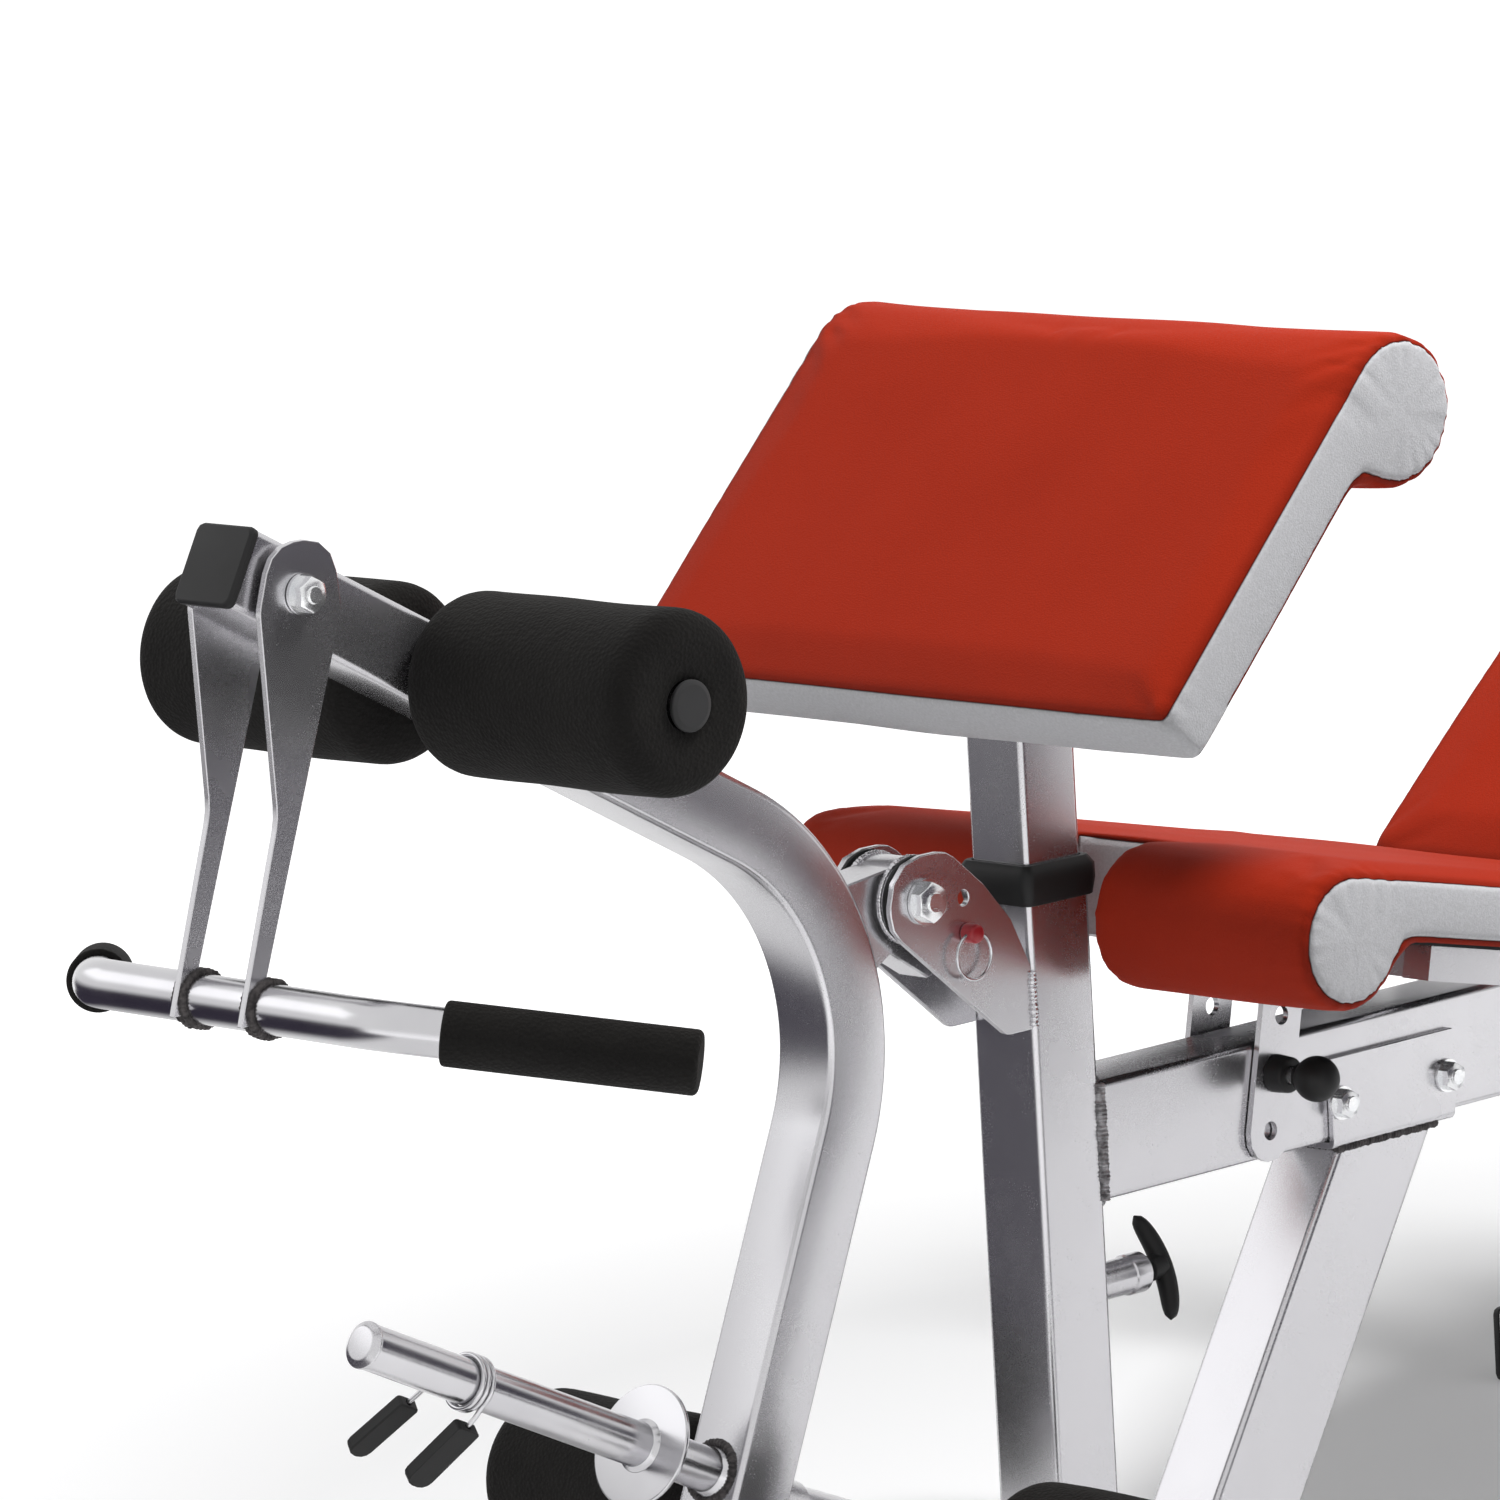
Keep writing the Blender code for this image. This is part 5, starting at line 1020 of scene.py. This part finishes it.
def foam_profile(length):
    """Profile of a sleeve: dished ends, soft rims and a straight outside."""
    dish = [(0.030, 0.0002), (0.020, 0.0008), (0.0150, 0.0016), (FOAM_BORE, 0.0030)]
    rim = []
    for k in range(9):
        a = math.radians(90.0 * k / 8)
        rim.append((FOAM_R - FOAM_RIM * (1 - math.cos(a)) ** 1.15, FOAM_RIM * (1 - math.sin(a))))
    straight = length - 2 * FOAM_RIM
    outside = [(FOAM_R, FOAM_RIM + straight * k / 24) for k in range(1, 24)]
    far_end = [(r, length - h) for r, h in rim + dish]
    return [*reversed(dish), *reversed(rim), *outside, *far_end]


def foam_sleeve(name, where, length, body, seed):
    """Foam sleeve along the matrix's local Z, a little uneven all over."""
    bm = bmesh.new()
    lathe(bm, foam_profile(length), Matrix(), 96, True)
    rng = np.random.default_rng(seed)
    waves = []
    for _ in range(7):
        count, start = rng.integers(1, 5), rng.uniform(0, 6.28)
        waves.append((count, start, rng.uniform(20, 70), rng.uniform(0, 6.28), rng.uniform(0.1, 0.3)))
    for v in bm.verts:
        r = math.hypot(v.co.x, v.co.y)
        if r > 0.02:
            a = math.atan2(v.co.y, v.co.x)
            swell = 0.0
            for count, start, pace, shift, size in waves:
                swell += size * math.sin(count * a + start) * math.cos(pace * v.co.z + shift)
            grow = 1.0 + FOAM_SWELL * (swell - 0.35) * (r / FOAM_R) / FOAM_R
            v.co.x *= grow
            v.co.y *= grow
    bm.transform(where)
    made = piece(name + "_finished", finished(bm, name, 75.0), FOAM, body, name)


for n, (label, at, reach, near) in enumerate(ROLLER_BARS):
    for side, sign in (("right", 1), ("left", -1)):
        name = label + "_foam_" + side
        where = standing(at + RIGHT * sign * near, RIGHT * sign)
        foam_sleeve(name, where, reach - near - 0.0031, label + "_rollers", 10 * n + 2 + sign)

GRIP_R = 0.01725
GRIP_BORE = CURL_R + 0.0002
grip = softened(
    [
        (GRIP_BORE, 0.003, 0),
        (GRIP_BORE, 0.0, 0.0008),
        (GRIP_R, 0.0, 0.0022),
        (GRIP_R, GRIP_LENGTH * 0.5, 0.0),
        (GRIP_R, GRIP_LENGTH, 0.0032),
        (0.0, GRIP_LENGTH - 0.0004, 0),
    ],
    5,
    False,
)
for side, sign in (("right", 1), ("left", -1)):
    way = Vector((sign * grip_way.x, grip_way.y, grip_way.z))
    bm = bmesh.new()
    lathe(bm, grip, standing(curl_at + RIGHT * sign * CURL_HALF + way * GRIP_START, way), 64)
    mesh = finished(bm, "curl_grip", 60.0)
    name = "curl_grip_finished_" + side
    made = piece(name, mesh, FOAM, "curl_handle", "curl_grip_" + side)


# Upholstery: the arm pad, the seat and the backrest. Each is moulded foam on a board, under a cover of
# orange-red vinyl with silver-grey side panels, sewn along the rim and stapled to a black backing.
# The cover is simulated as cloth under pressure, then drawn in along the seams and gathered there.
VINYL_GRID = 0.0055
CLOTH = {
    "quality": 5,
    "mass": 0.25,
    "tension_stiffness": 25.0,
    "compression_stiffness": 25.0,
    "shear_stiffness": 8.0,
    "bending_stiffness": 1.5,
    "use_pressure": True,
    "uniform_pressure_force": 4.0,
    "vertex_group_mass": "held",
}
CLOTH_STEPS = 20
MOST_BULGE = 0.0030
COVER_INSET = 0.0018
SEAM_SINK = 0.0012
SEAM_LENGTH = 1.9
RIGHT_RUN, LEFT_RUN, END_RUN = 3.0, 6.0, 9.0


def roll_side(length, thick, radius, rim):
    """Side outline of a pad whose one end is a roll, from under the roll round over its top."""
    meet = math.asin((radius - thick) / radius)
    turns = np.linspace(2 * math.pi + meet, math.pi / 2, 60)
    out = [(radius * math.cos(a), radius * math.sin(a) - radius) for a in turns]
    out += [(y, 0.0) for y in np.linspace(0.0, length - rim, 12)[1:]]
    quarter = np.linspace(0, math.pi / 2, 6)
    middle = length - rim
    out += [(middle + rim * math.sin(a), rim * math.cos(a) - rim) for a in quarter[1:]]
    out += [(middle + rim * math.cos(a), rim - thick - rim * math.sin(a)) for a in quarter]
    return np.array(out)


def slab_side(start, stop, thick, rim):
    """Side outline of a flat pad, from its lower start round over its top."""
    out = []
    for y, side in ((start + rim, -1), (stop - rim, 1)):
        for a in np.linspace(0, math.pi, 13):
            rise = rim * math.cos(math.pi - a if side < 0 else a)
            out.append((y + side * rim * math.sin(a), rise - rim if rise > 0 else rise + rim - thick))
    return np.array(out)


def rim_depth(spots, outline):
    """Distance of each spot from the outline, and how far along it the nearest place lies."""
    step = np.roll(outline, -1, axis=0) - outline
    run = np.linalg.norm(step, axis=1)
    start = np.concatenate([[0.0], np.cumsum(run)[:-1]])
    depth = np.full(len(spots), 9.0)
    along = np.zeros(len(spots))
    for corner, way, size, first in zip(outline, step, run, start):
        if size < 1e-7:
            continue
        rel = spots - corner
        share = np.clip(rel @ way / size**2, 0.0, 1.0)
        gap = np.linalg.norm(rel - share[:, None] * way, axis=1)
        nearer = gap < depth
        depth[nearer] = gap[nearer]
        along[nearer] = first + share[nearer] * size
    return depth, along


def per_vertex(mesh, key):
    """The positions (co) or normals (normal) of a mesh's vertices, as rows."""
    flat = np.empty(len(mesh.vertices) * 3, np.float32)
    mesh.vertices.foreach_get(key, flat)
    return flat.reshape(-1, 3).astype(float)


def read_values(mesh, key):
    values = np.empty(len(mesh.vertices), np.float32)
    mesh.attributes[key].data.foreach_get("value", values)
    return values.astype(float)


def cover_grid(name, to_pad):
    """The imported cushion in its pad's frame, as an even grid of small faces with eased edges."""
    mesh = nodes[name].data.copy()
    mesh.transform(to_pad.inverted())
    source = worker(name, cleaned(mesh, 1e-5))
    modify(source, "REMESH", mode="VOXEL", voxel_size=VINYL_GRID)
    modify(source, "SMOOTH", iterations=3, factor=0.5)
    mesh = as_mesh(source, name + "_grid")
    mesh.update()
    return mesh


def seam_field(rest, outline, half, seam_at, ends, notch):
    """How far each vertex lies past the seam, on the silver side, and its run along the seam."""
    x, y, z = rest.T
    depth, along = rim_depth(np.column_stack([y, z]), outline)
    seam = depth - (half - np.abs(x)) - seam_at
    run = along + np.where(x > 0, RIGHT_RUN, LEFT_RUN)
    for edge, side in ends:
        cut = -z - side * (edge - y) - seam_at * 0.6
        run = np.where(cut > seam, x + END_RUN, run)
        seam = np.maximum(seam, cut)
    if notch:
        wide, back = notch
        cut = np.minimum(-z - (y - back), (wide - np.abs(x)) - (back - y)) - 0.002
        seam = np.maximum(seam, cut)
    return seam, run


def inflated(mesh, name, pinned):
    """The cover as cloth blown up from inside, held at its pinned vertices, its bulge capped."""
    rest = per_vertex(mesh, "co")
    cover = worker(name, mesh)
    held = cover.vertex_groups.new(name="held")
    held.add([int(i) for i in np.flatnonzero(pinned)], 1.0, "REPLACE")
    cloth = modify(cover, "CLOTH")
    for key, value in CLOTH.items():
        setattr(cloth.settings, key, value)
    cloth.settings.effector_weights.gravity = 0.0
    cloth.collision_settings.use_collision = False
    cloth.collision_settings.use_self_collision = False
    cloth.point_cache.frame_start = 1
    cloth.point_cache.frame_end = CLOTH_STEPS
    for step in range(1, CLOTH_STEPS + 1):
        scene.frame_set(step)
    made = as_mesh(cover, name)
    scene.frame_set(1)
    moved = per_vertex(made, "co") - rest
    size = np.linalg.norm(moved, axis=1)
    share = np.minimum(1.0, MOST_BULGE / np.maximum(size, 1e-9))
    made.vertices.foreach_set("co", (rest + moved * share[:, None]).ravel())
    return made


def gathers(along, seed, spacing, length):
    """Small folds at irregular places along a seam: narrow valleys, as a height."""
    rng = np.random.default_rng(seed)
    height = np.zeros(len(along))
    place = 0.0
    while place < length:
        place += rng.uniform(0.5, 1.6) * spacing
        narrow = rng.uniform(0.0020, 0.0042)
        height -= rng.uniform(0.3, 1.0) * np.exp(-(((along - place) / narrow) ** 2))
    return height


def drape(mesh, half, length, roll, seed):
    """Height to add along each normal: gathers by the seams, the sunk seam line and faint waves."""
    x, y, _ = per_vertex(mesh, "co").T
    seam, run = read_values(mesh, "seam"), read_values(mesh, "run")
    on_roll = np.clip((roll - y) / 0.02, 0.0, 1.0) if roll else np.zeros(len(x))
    at_side = np.clip((np.abs(x) - half + 0.05) / 0.05, 0.0, 1.0)
    corner = at_side * np.clip((y - length + 0.05) / 0.05, 0.0, 1.0)
    strength = 0.00028 + 0.0014 * on_roll + 0.0015 * corner
    red_reach = 0.008 + 0.006 * on_roll + 0.012 * corner
    reach = np.where(seam > 0, 0.012 + 0.014 * on_roll, red_reach)
    runs = ((RIGHT_RUN, SEAM_LENGTH), (LEFT_RUN, SEAM_LENGTH), (END_RUN - half, 2 * half))
    folds = sum(gathers(run - first, seed + n, 0.013, span) for n, (first, span) in enumerate(runs))
    height = folds * strength * np.exp(-np.abs(seam) / reach)
    height -= SEAM_SINK * np.exp(-((seam / 0.0022) ** 2))
    height += 0.0003 * np.sin(17 * x + 3 * seed) * np.sin(23 * y + 0.7 * seed)
    height += 0.0003 * np.sin(41 * x - 29 * y + seed)
    return height * (1.0 - np.clip(read_values(mesh, "under"), 0.0, 1.0))


def upholstered(name, to_pad, outline, half, length, thick, seed, seam_at, ends, notch=None, roll=0.0):
    """A cover in its pad's frame: X across, Y along and Z out of its top face, which is at 0."""
    mesh = cover_grid(name, to_pad)
    rest, out = per_vertex(mesh, "co"), per_vertex(mesh, "normal")
    seam, run = seam_field(rest, outline, half, seam_at, ends, notch)
    y, z = rest[:, 1], rest[:, 2]
    under = (z < -thick + 0.004) & (z > -thick - 0.006) & (out[:, 2] < -0.7) & (y > roll)
    mesh.vertices.foreach_set("co", (rest - out * COVER_INSET).ravel())
    for key, values in (("seam", seam), ("run", run), ("under", under.astype(float))):
        layer = mesh.attributes.new(key, "FLOAT", "POINT")
        layer.data.foreach_set("value", values)
    source = worker(name, inflated(mesh, name, under | (np.abs(seam) < VINYL_GRID * 0.55)))
    modify(source, "SUBSURF", levels=1)
    mesh = as_mesh(source, name)
    mesh.update()
    height = drape(mesh, half, length, roll, seed)
    spots = per_vertex(mesh, "co") + per_vertex(mesh, "normal") * height[:, None]
    mesh.vertices.foreach_set("co", spots.ravel())
    mesh.transform(to_pad)
    mesh.update()
    mesh.shade_smooth()
    return mesh


def sewn_vinyl():
    """Orange-red vinyl with silver side panels, told apart by the cover's seam attribute, with painted
    shade along the seams.
    """
    vinyl = Finish("orange_red_vinyl")
    seam = vinyl.node("ShaderNodeAttribute", output="Fac", attribute_name="seam")
    under = vinyl.node("ShaderNodeAttribute", output="Fac", attribute_name="under")
    cloud = vinyl.noise(9.0, 3.0)
    grain = vinyl.cells(900.0)
    fine = vinyl.noise(1700.0, 2.0)
    fleck = vinyl.noise(620.0, 3.0)
    red = vinyl.mix(cloud.over(0.3, 0.4), (0.335, 0.0240, 0.0088), (0.365, 0.0272, 0.0102))
    red = vinyl.mix(fine.over(0.45, 0.3) * 0.4, red, (0.31, 0.0190, 0.0070))
    # Painted shade: the red darkens over its last 14 mm before the seam, where the cover rolls over the
    # rim.
    red = vinyl.mix(seam.over(-0.014, 0.013) * 0.55, red, (0.13, 0.0085, 0.0040))
    grey = vinyl.mix(fleck.over(0.35, 0.4), (0.49, 0.49, 0.505), (0.57, 0.57, 0.59))
    silver = seam.over(-0.0002, 0.0004)
    # Painted shadow: a dark line right along the seam, where the cover is sewn into a crease.
    painted_seam_shade = 1.0 - seam.size().over(0.0002, 0.0011)
    backing = under.over(0.45, 0.1)
    tone = vinyl.mix(silver, red, grey)
    tone = vinyl.mix(painted_seam_shade * 0.75, tone, (0.035, 0.012, 0.010))
    tone = vinyl.mix(backing, tone, (0.016, 0.016, 0.017))
    normal = vinyl.bump(grain, 0.00030, 0.45)
    normal = vinyl.bump(fine, 0.00012, 0.5, normal)
    normal = vinyl.bump(seam.size().over(0.0, 0.0016), 0.0008, 0.9, normal)
    rough = 0.60 + fine.over(0.3, 0.5) * 0.14 + backing * 0.35 - silver * 0.04
    return vinyl.wear(Base_Color=tone, Roughness=rough, Normal=normal, Specular_IOR_Level=0.07)


VINYL = sewn_vinyl(), "orange_red_vinyl"


def pad_frame(origin, along, out):
    """Matrix of a pad's frame: X across, Y along, Z out of its top face."""
    return framed(origin, along.cross(out), along, out)


def leaning(angle):
    """Directions along and out of a surface that rises towards the head end by an angle."""
    a = math.radians(angle)
    return Vector((0.0, math.cos(a), math.sin(a))), Vector((0.0, -math.sin(a), math.cos(a)))


def covered(name, body, *shape, **more):
    cover = piece(name + "_cover", upholstered(name, *shape, **more), VINYL, body, name)


ARM_PAD_LENGTH = 0.248
ARM_PAD_HALF = 0.221
ARM_PAD_THICK = 0.047
ARM_PAD_ROLL = 0.046
face_up, face_out = leaning(45.3)
arm_pad_head = Vector((0.0, -0.113, 0.622)) + face_up * ARM_PAD_LENGTH
covered(
    "arm_pad",
    "arm_pad_carriage",
    pad_frame(arm_pad_head, -face_up, face_out),
    roll_side(ARM_PAD_LENGTH, ARM_PAD_THICK, ARM_PAD_ROLL, 0.010),
    ARM_PAD_HALF,
    ARM_PAD_LENGTH,
    ARM_PAD_THICK,
    seed=3,
    seam_at=0.0025,
    ends=[(ARM_PAD_LENGTH, 1)],
    roll=ARM_PAD_ROLL,
)

SEAT_PAD_LENGTH = 0.362
SEAT_PAD_HALF = 0.215
SEAT_PAD_ROLL = 0.043
PAD_THICK = 0.045
NOTCH_HALF = 0.045
NOTCH_BACK = 0.036
hinge_at = Vector((0.0, 0.440, 0.395))
seat_way, seat_out = leaning(-12.0)
covered(
    "seat_pad",
    "seat",
    pad_frame(hinge_at - seat_way * 0.405 + seat_out * 0.0387, seat_way, seat_out),
    roll_side(SEAT_PAD_LENGTH, PAD_THICK, SEAT_PAD_ROLL, 0.016),
    SEAT_PAD_HALF,
    SEAT_PAD_LENGTH,
    PAD_THICK,
    seed=8,
    seam_at=0.0040,
    ends=[(SEAT_PAD_LENGTH, 1)],
    notch=(NOTCH_HALF, NOTCH_BACK),
    roll=SEAT_PAD_ROLL,
)

BACK_START = 0.018
BACK_STOP = 0.718
BACK_HALF = 0.148
back_way, back_out = leaning(40.0)
covered(
    "back_pad",
    "backrest",
    pad_frame(hinge_at + back_out * 0.034, back_way, back_out),
    slab_side(BACK_START, BACK_STOP, PAD_THICK, 0.014),
    BACK_HALF,
    BACK_STOP,
    PAD_THICK,
    seed=5,
    seam_at=0.0030,
    ends=[(BACK_STOP, 1), (BACK_START, -1)],
)

# Weld beads: the fillets that hold the tubes and plates, laid by hand in overlapping ripples. Most are
# painted over with the frame, and those on plated parts and under the channel show dark scale.
BEAD_RIPPLE = 0.0024
bead = Recipe("weld_bead", "Size", "Ripple")
line = bead.node("GeometryNodeMeshToCurve", {"Mesh": bead.start})
spacing = {"Curve": line, "Length": 0.0006}
line = bead.node("GeometryNodeResampleCurve", spacing, mode="LENGTH")
travel = bead.node("GeometryNodeSplineParameter", output="Length")
wander = bead.node("ShaderNodeTexNoise", {"Scale": 260.0, "Detail": 2.0})
swell = (travel * (2 * math.pi) / bead.size("Ripple") + wander * 5.0).math("SINE")
radius = bead.size("Size") * (1.0 + swell * 0.10 + (wander - 0.5) * 0.9)
laid = bead.node("GeometryNodeSetCurveRadius", {"Curve": line, "Radius": radius})
ring = bead.node("GeometryNodeCurvePrimitiveCircle", {"Resolution": 10, "Radius": 1.0})
rope = {"Curve": laid, "Profile Curve": ring, "Scale": radius, "Fill Caps": True}
bead.done(bead.node("GeometryNodeCurveToMesh", rope), PAINT[0])


def weld_finish(name, pits, crests):
    """Rough, scaly skin of a weld, with darker pits."""
    scale = Finish(name)
    cloud = scale.noise(240.0, 4.0)
    tone = scale.mix(cloud.over(0.35, 0.3), pits, crests)
    rough = 0.55 + cloud.over(0.3, 0.4) * 0.2
    normal = scale.bump(scale.noise(900.0, 3.0), 0.0005, 0.8)
    scale.wear(Base_Color=tone, Metallic=0.6, Roughness=rough, Normal=normal)
    return scale.made, "silver_paint"


def welds(name, body, size, paths, look=PAINT):
    """Beads along several paths, as one piece."""
    points = []
    edges = []
    for path in paths:
        edges += [(len(points) + k, len(points) + k + 1) for k in range(len(path) - 1)]
        points += path
    made = grown(name, points, edges, bead, {"Size": size, "Ripple": BEAD_RIPPLE})
    piece(name, made, look, body)


def both_sides(*path):
    return [[(sign * x, y, z) for x, y, z in path] for sign in (1, -1)]


def hoop(at, along, radius):
    """Ring of points about an axis."""
    first = along.orthogonal().normalized() * radius
    turns = [Matrix.Rotation(2 * math.pi * k / 48, 3, along) for k in range(49)]
    return [tuple(at + turn @ first) for turn in turns]


def rectangle(low, high):
    """Corners round a rectangle, back to the first, from two of its opposite ones."""
    (a, b), (c, d) = low, high
    return [(a, b), (c, b), (c, d), (a, d), (a, b)]


def round_foot(low, high, z):
    """Level path round a rectangular tube, from opposite corners of its section."""
    return [(x, y, z) for x, y in rectangle(low, high)]


def on_middle(y, half):
    """Opposite corners of a tube as wide as the post, which stands across the middle plane."""
    return (-tube_half, y - half), (tube_half, y + half)


beam_low, beam_high = corners("main_beam")
post_low, post_high = corners("front_post")
foot_top = corners("front_foot")[1].z
tube_half = post_high.x
post_back = post_high.y
BEAM_DEPTH = 0.070
root_x, root_low, root_high = beam_high.x - 0.0005, beam_low.z, beam_low.z + BEAM_DEPTH
beam_root = both_sides((root_x, post_back, root_low + 0.001), (root_x, post_back, root_high - 0.001))
for z in (root_low + 0.0003, root_high - 0.0003):
    beam_root.append([(-root_x + 0.003, post_back, z), (root_x - 0.003, post_back, z)])
PAINTED = weld_finish("painted_weld", (0.13, 0.125, 0.13), (0.52, 0.515, 0.53))
welds("beam_welds", "frame", 0.0034, beam_root, PAINTED)

CHANNEL_UNDER = 0.3042
BRACE_HEAD_Y = 0.263
BRACE_LEAN = math.radians(32.0)
brace_half = 0.035 / math.cos(BRACE_LEAN)
brace_foot_y = BRACE_HEAD_Y - (CHANNEL_UNDER - foot_top) * math.tan(BRACE_LEAN)
plate_x = corners("pivot_plate_right")[1].x
plate_y = post_low.y + 0.0002
frame_roots = [
    round_foot(*on_middle(brace_foot_y, brace_half), foot_top + 0.0002),
    round_foot(post_low.xy, post_high.xy, foot_top + 0.0002),
    hoop(PIN_AXIS + REARWARD * (post_back + 0.0004), REARWARD, HOUSING_R + 0.0018),
]
frame_roots += both_sides(
    (plate_x, plate_y, pivot_at.z - 0.085), (plate_x, plate_y, pivot_at.z - 0.054)
)
for side in ("right", "left"):
    low, high = corners("upright_" + side)
    frame_roots.append(round_foot(low.xy, high.xy, low.z + 0.0004))
low, high = corners("upright_crossbar")
for x in (low.x, high.x):
    frame_roots.append([(x, y, z) for y, z in rectangle(low.yz, high.yz)])
welds("frame_welds", "frame", 0.0024, frame_roots)

lever_roots = [hoop(carrier_foot + arm_back * (ARM / 2 + 0.0002), arm_back, CARRIER_R + 0.0002)]
for x in (GUSSET_HALF, -GUSSET_HALF):
    lever_roots.append(hoop(pivot_at + RIGHT * x, RIGHT, PIVOT_TUBE_R))
welds("lever_welds", "lever", 0.0017, lever_roots)

low, high = corners("hanger_right")
hanger_roots = []
for sign in (1, -1):
    for x in (low.x - 0.0008, high.x + 0.0008):
        at = Vector((sign * x, curl_at.y, curl_at.z))
        hanger_roots.append(hoop(at, RIGHT, CURL_R + 0.0006))
BARE = weld_finish("bare_weld", (0.030, 0.027, 0.028), (0.115, 0.105, 0.105))
welds("hanger_welds", "curl_handle", 0.0024, hanger_roots, BARE)
welds("peg_weld", "lever", 0.0024, [hoop(peg_foot, -arm_back, PEG_COLLAR_R)], BARE)
brace_head = round_foot(*on_middle(BRACE_HEAD_Y, brace_half), CHANNEL_UNDER)
welds("channel_weld", "frame", 0.0030, [brace_head], BARE)

# Studio: a pale floor that runs out of sight, a wide lamp to the left and a smaller one high on the
# right. Four screens with a dark side and one bright window show only in the metal, as its bands.
CARD_SHADE = (0.042, 0.036, 0.056)
WINDOW_SHADE = (1.75, 1.75, 1.76)
PAINTED_SHADOW_AT = (-0.1, 0.5, 0.0)


def not_diffuse(tree):
    """1 for rays from the camera and in reflections, 0 for those that light the scene."""
    rays = tree.nodes.new("ShaderNodeLightPath").outputs
    camera_ray, glossy, through = (
        Reading(tree, rays[key]) for key in ("Is Camera Ray", "Is Glossy Ray", "Is Transmission Ray")
    )
    return camera_ray.math("MAXIMUM", glossy.math("MAXIMUM", through))


def pale_floor():
    """Matt floor that glows by itself except where it lights things. The glow fades out near a spot under
    the bench, a painted shadow over the lamps' own.
    """
    floor = Finish("studio_floor")
    tree = floor.tree
    floor.wear(Base_Color=(0.90, 0.90, 0.905), Roughness=0.95, Specular_IOR_Level=0.0)
    # Painted shadow: the glow is 0.06 within 0.8 m of the spot under the bench and rises to 0.92 at 2 m,
    # so the floor darkens round the bench.
    spots = {0: floor.place(), 1: PAINTED_SHADOW_AT}
    from_shadow = floor.node("ShaderNodeVectorMath", spots, "Value", operation="DISTANCE")
    strength = from_shadow.over(0.80, 1.2) * 0.86 + 0.06
    glow = floor.node("ShaderNodeEmission", {"Strength": strength})
    both = floor.node("ShaderNodeAddShader", {1: glow})
    choice = floor.node("ShaderNodeMixShader", {0: not_diffuse(tree), 2: both})
    tree.links.new(floor.shader.outputs[0], both.socket.node.inputs[0])
    tree.links.new(floor.shader.outputs[0], choice.socket.node.inputs[1])
    tree.links.new(choice.socket, tree.nodes["Material Output"].inputs[0])
    return floor.made


def flat_sheet(name, half_x, half_y, material):
    mesh = bpy.data.meshes.new(name)
    ends = [(-half_x, -half_y, 0), (half_x, -half_y, 0), (half_x, half_y, 0), (-half_x, half_y, 0)]
    mesh.from_pydata(ends, [], [(0, 1, 2, 3)])
    mesh.materials.append(material)
    sheet = bpy.data.objects.new(name, mesh)
    scene.collection.objects.link(sheet)
    return sheet


flat_sheet("floor", 30.0, 30.0, pale_floor())

world = bpy.data.worlds.new("studio")
world.use_nodes = True
scene.world = world
sky = world.node_tree
ground = sky.nodes["Background"]
ground.inputs[0].default_value = (1.0, 1.0, 1.0, 1.0)
sky.links.new((not_diffuse(sky) * 0.78 + 0.22).socket, ground.inputs[1])


def screen(name, where, half_width, half_height, clear, full, tone=CARD_SHADE, fade=0.35):
    """Screen seen only in reflections. Up its local Y it goes from white at clear to its tone at full."""
    card = Finish(name)
    tree = card.tree
    spot = card.node("ShaderNodeTexCoord", output="Object")
    split = card.node("ShaderNodeSeparateXYZ", {0: spot}).socket.node
    across, up = (Reading(tree, split.outputs[key]) for key in "XY")
    sides = 1.0 - across.size().over(half_width - fade, fade)
    shade = card.mix(up.over(clear, full - clear) * sides, (1.0, 1.0, 1.0), tone)
    glow = card.node("ShaderNodeEmission", {"Color": shade})
    tree.links.new(glow.socket, tree.nodes["Material Output"].inputs[0])
    sheet = flat_sheet(name, half_width, half_height, card.made)
    for ray in ("camera", "diffuse", "transmission", "volume_scatter", "shadow"):
        setattr(sheet, "visible_" + ray, False)
    sheet.matrix_world = where


def on_edge(middle, out_x, out_y):
    """Frame of a sheet that stands on edge and faces out."""
    out = Vector((out_x, out_y, 0.0)).normalized()
    return framed(middle, UP.cross(out), UP, out)


def lying(middle, up_x, up_y):
    """Frame of a sheet that lies on the floor, with its local Y towards a side."""
    way = Vector((up_x, up_y, 0.0)).normalized()
    return framed(middle, way.cross(UP), way, UP)


SCREEN_LIFT = 0.002
away = Vector((-0.73, -0.68, 0.0)).normalized()
screen("left_screen", on_edge((-1.25, -1.16, 0.32), 0.73, 0.68), 1.6, 0.32, 0.24, -0.02)
screen("floor_screen", lying(away * 1.05 + UP * SCREEN_LIFT, -0.73, -0.68), 1.6, 0.65, -0.37, -0.12)
right_place = on_edge((1.580, 0.543, 0.60), -0.73, -0.68)
screen("right_screen", right_place, 0.84, 0.55, -0.52, -0.41, fade=0.24)
low_place = lying((1.28, 0.21, SCREEN_LIFT), 0.73, 0.68)
screen("low_screen", low_place, 0.50, 0.45, -0.40, -0.10, fade=0.15)
window_place = on_edge((-2.10, -1.50, 1.75), 0.80, 0.60)
screen("left_window", window_place, 1.5, 0.75, -0.70, -0.30, WINDOW_SHADE)


def soft_lamp(name, at, target, size, power):
    lamp = bpy.data.objects.new(name, bpy.data.lights.new(name, "AREA"))
    lamp.data.shape = "RECTANGLE"
    lamp.data.size, lamp.data.size_y = size
    lamp.data.energy = power
    lamp.location = at
    lamp.rotation_euler = (Vector(target) - Vector(at)).to_track_quat("-Z", "Y").to_euler()
    lamp.visible_glossy = False
    scene.collection.objects.link(lamp)


soft_lamp("left_lamp", (-1.6, -2.6, 2.2), (0.0, -0.1, 0.5), (2.0, 1.6), 40.0)
soft_lamp("key_lamp", (0.95, 0.75, 2.70), (0.0, 0.2, 0.4), (0.5, 0.5), 72.0)
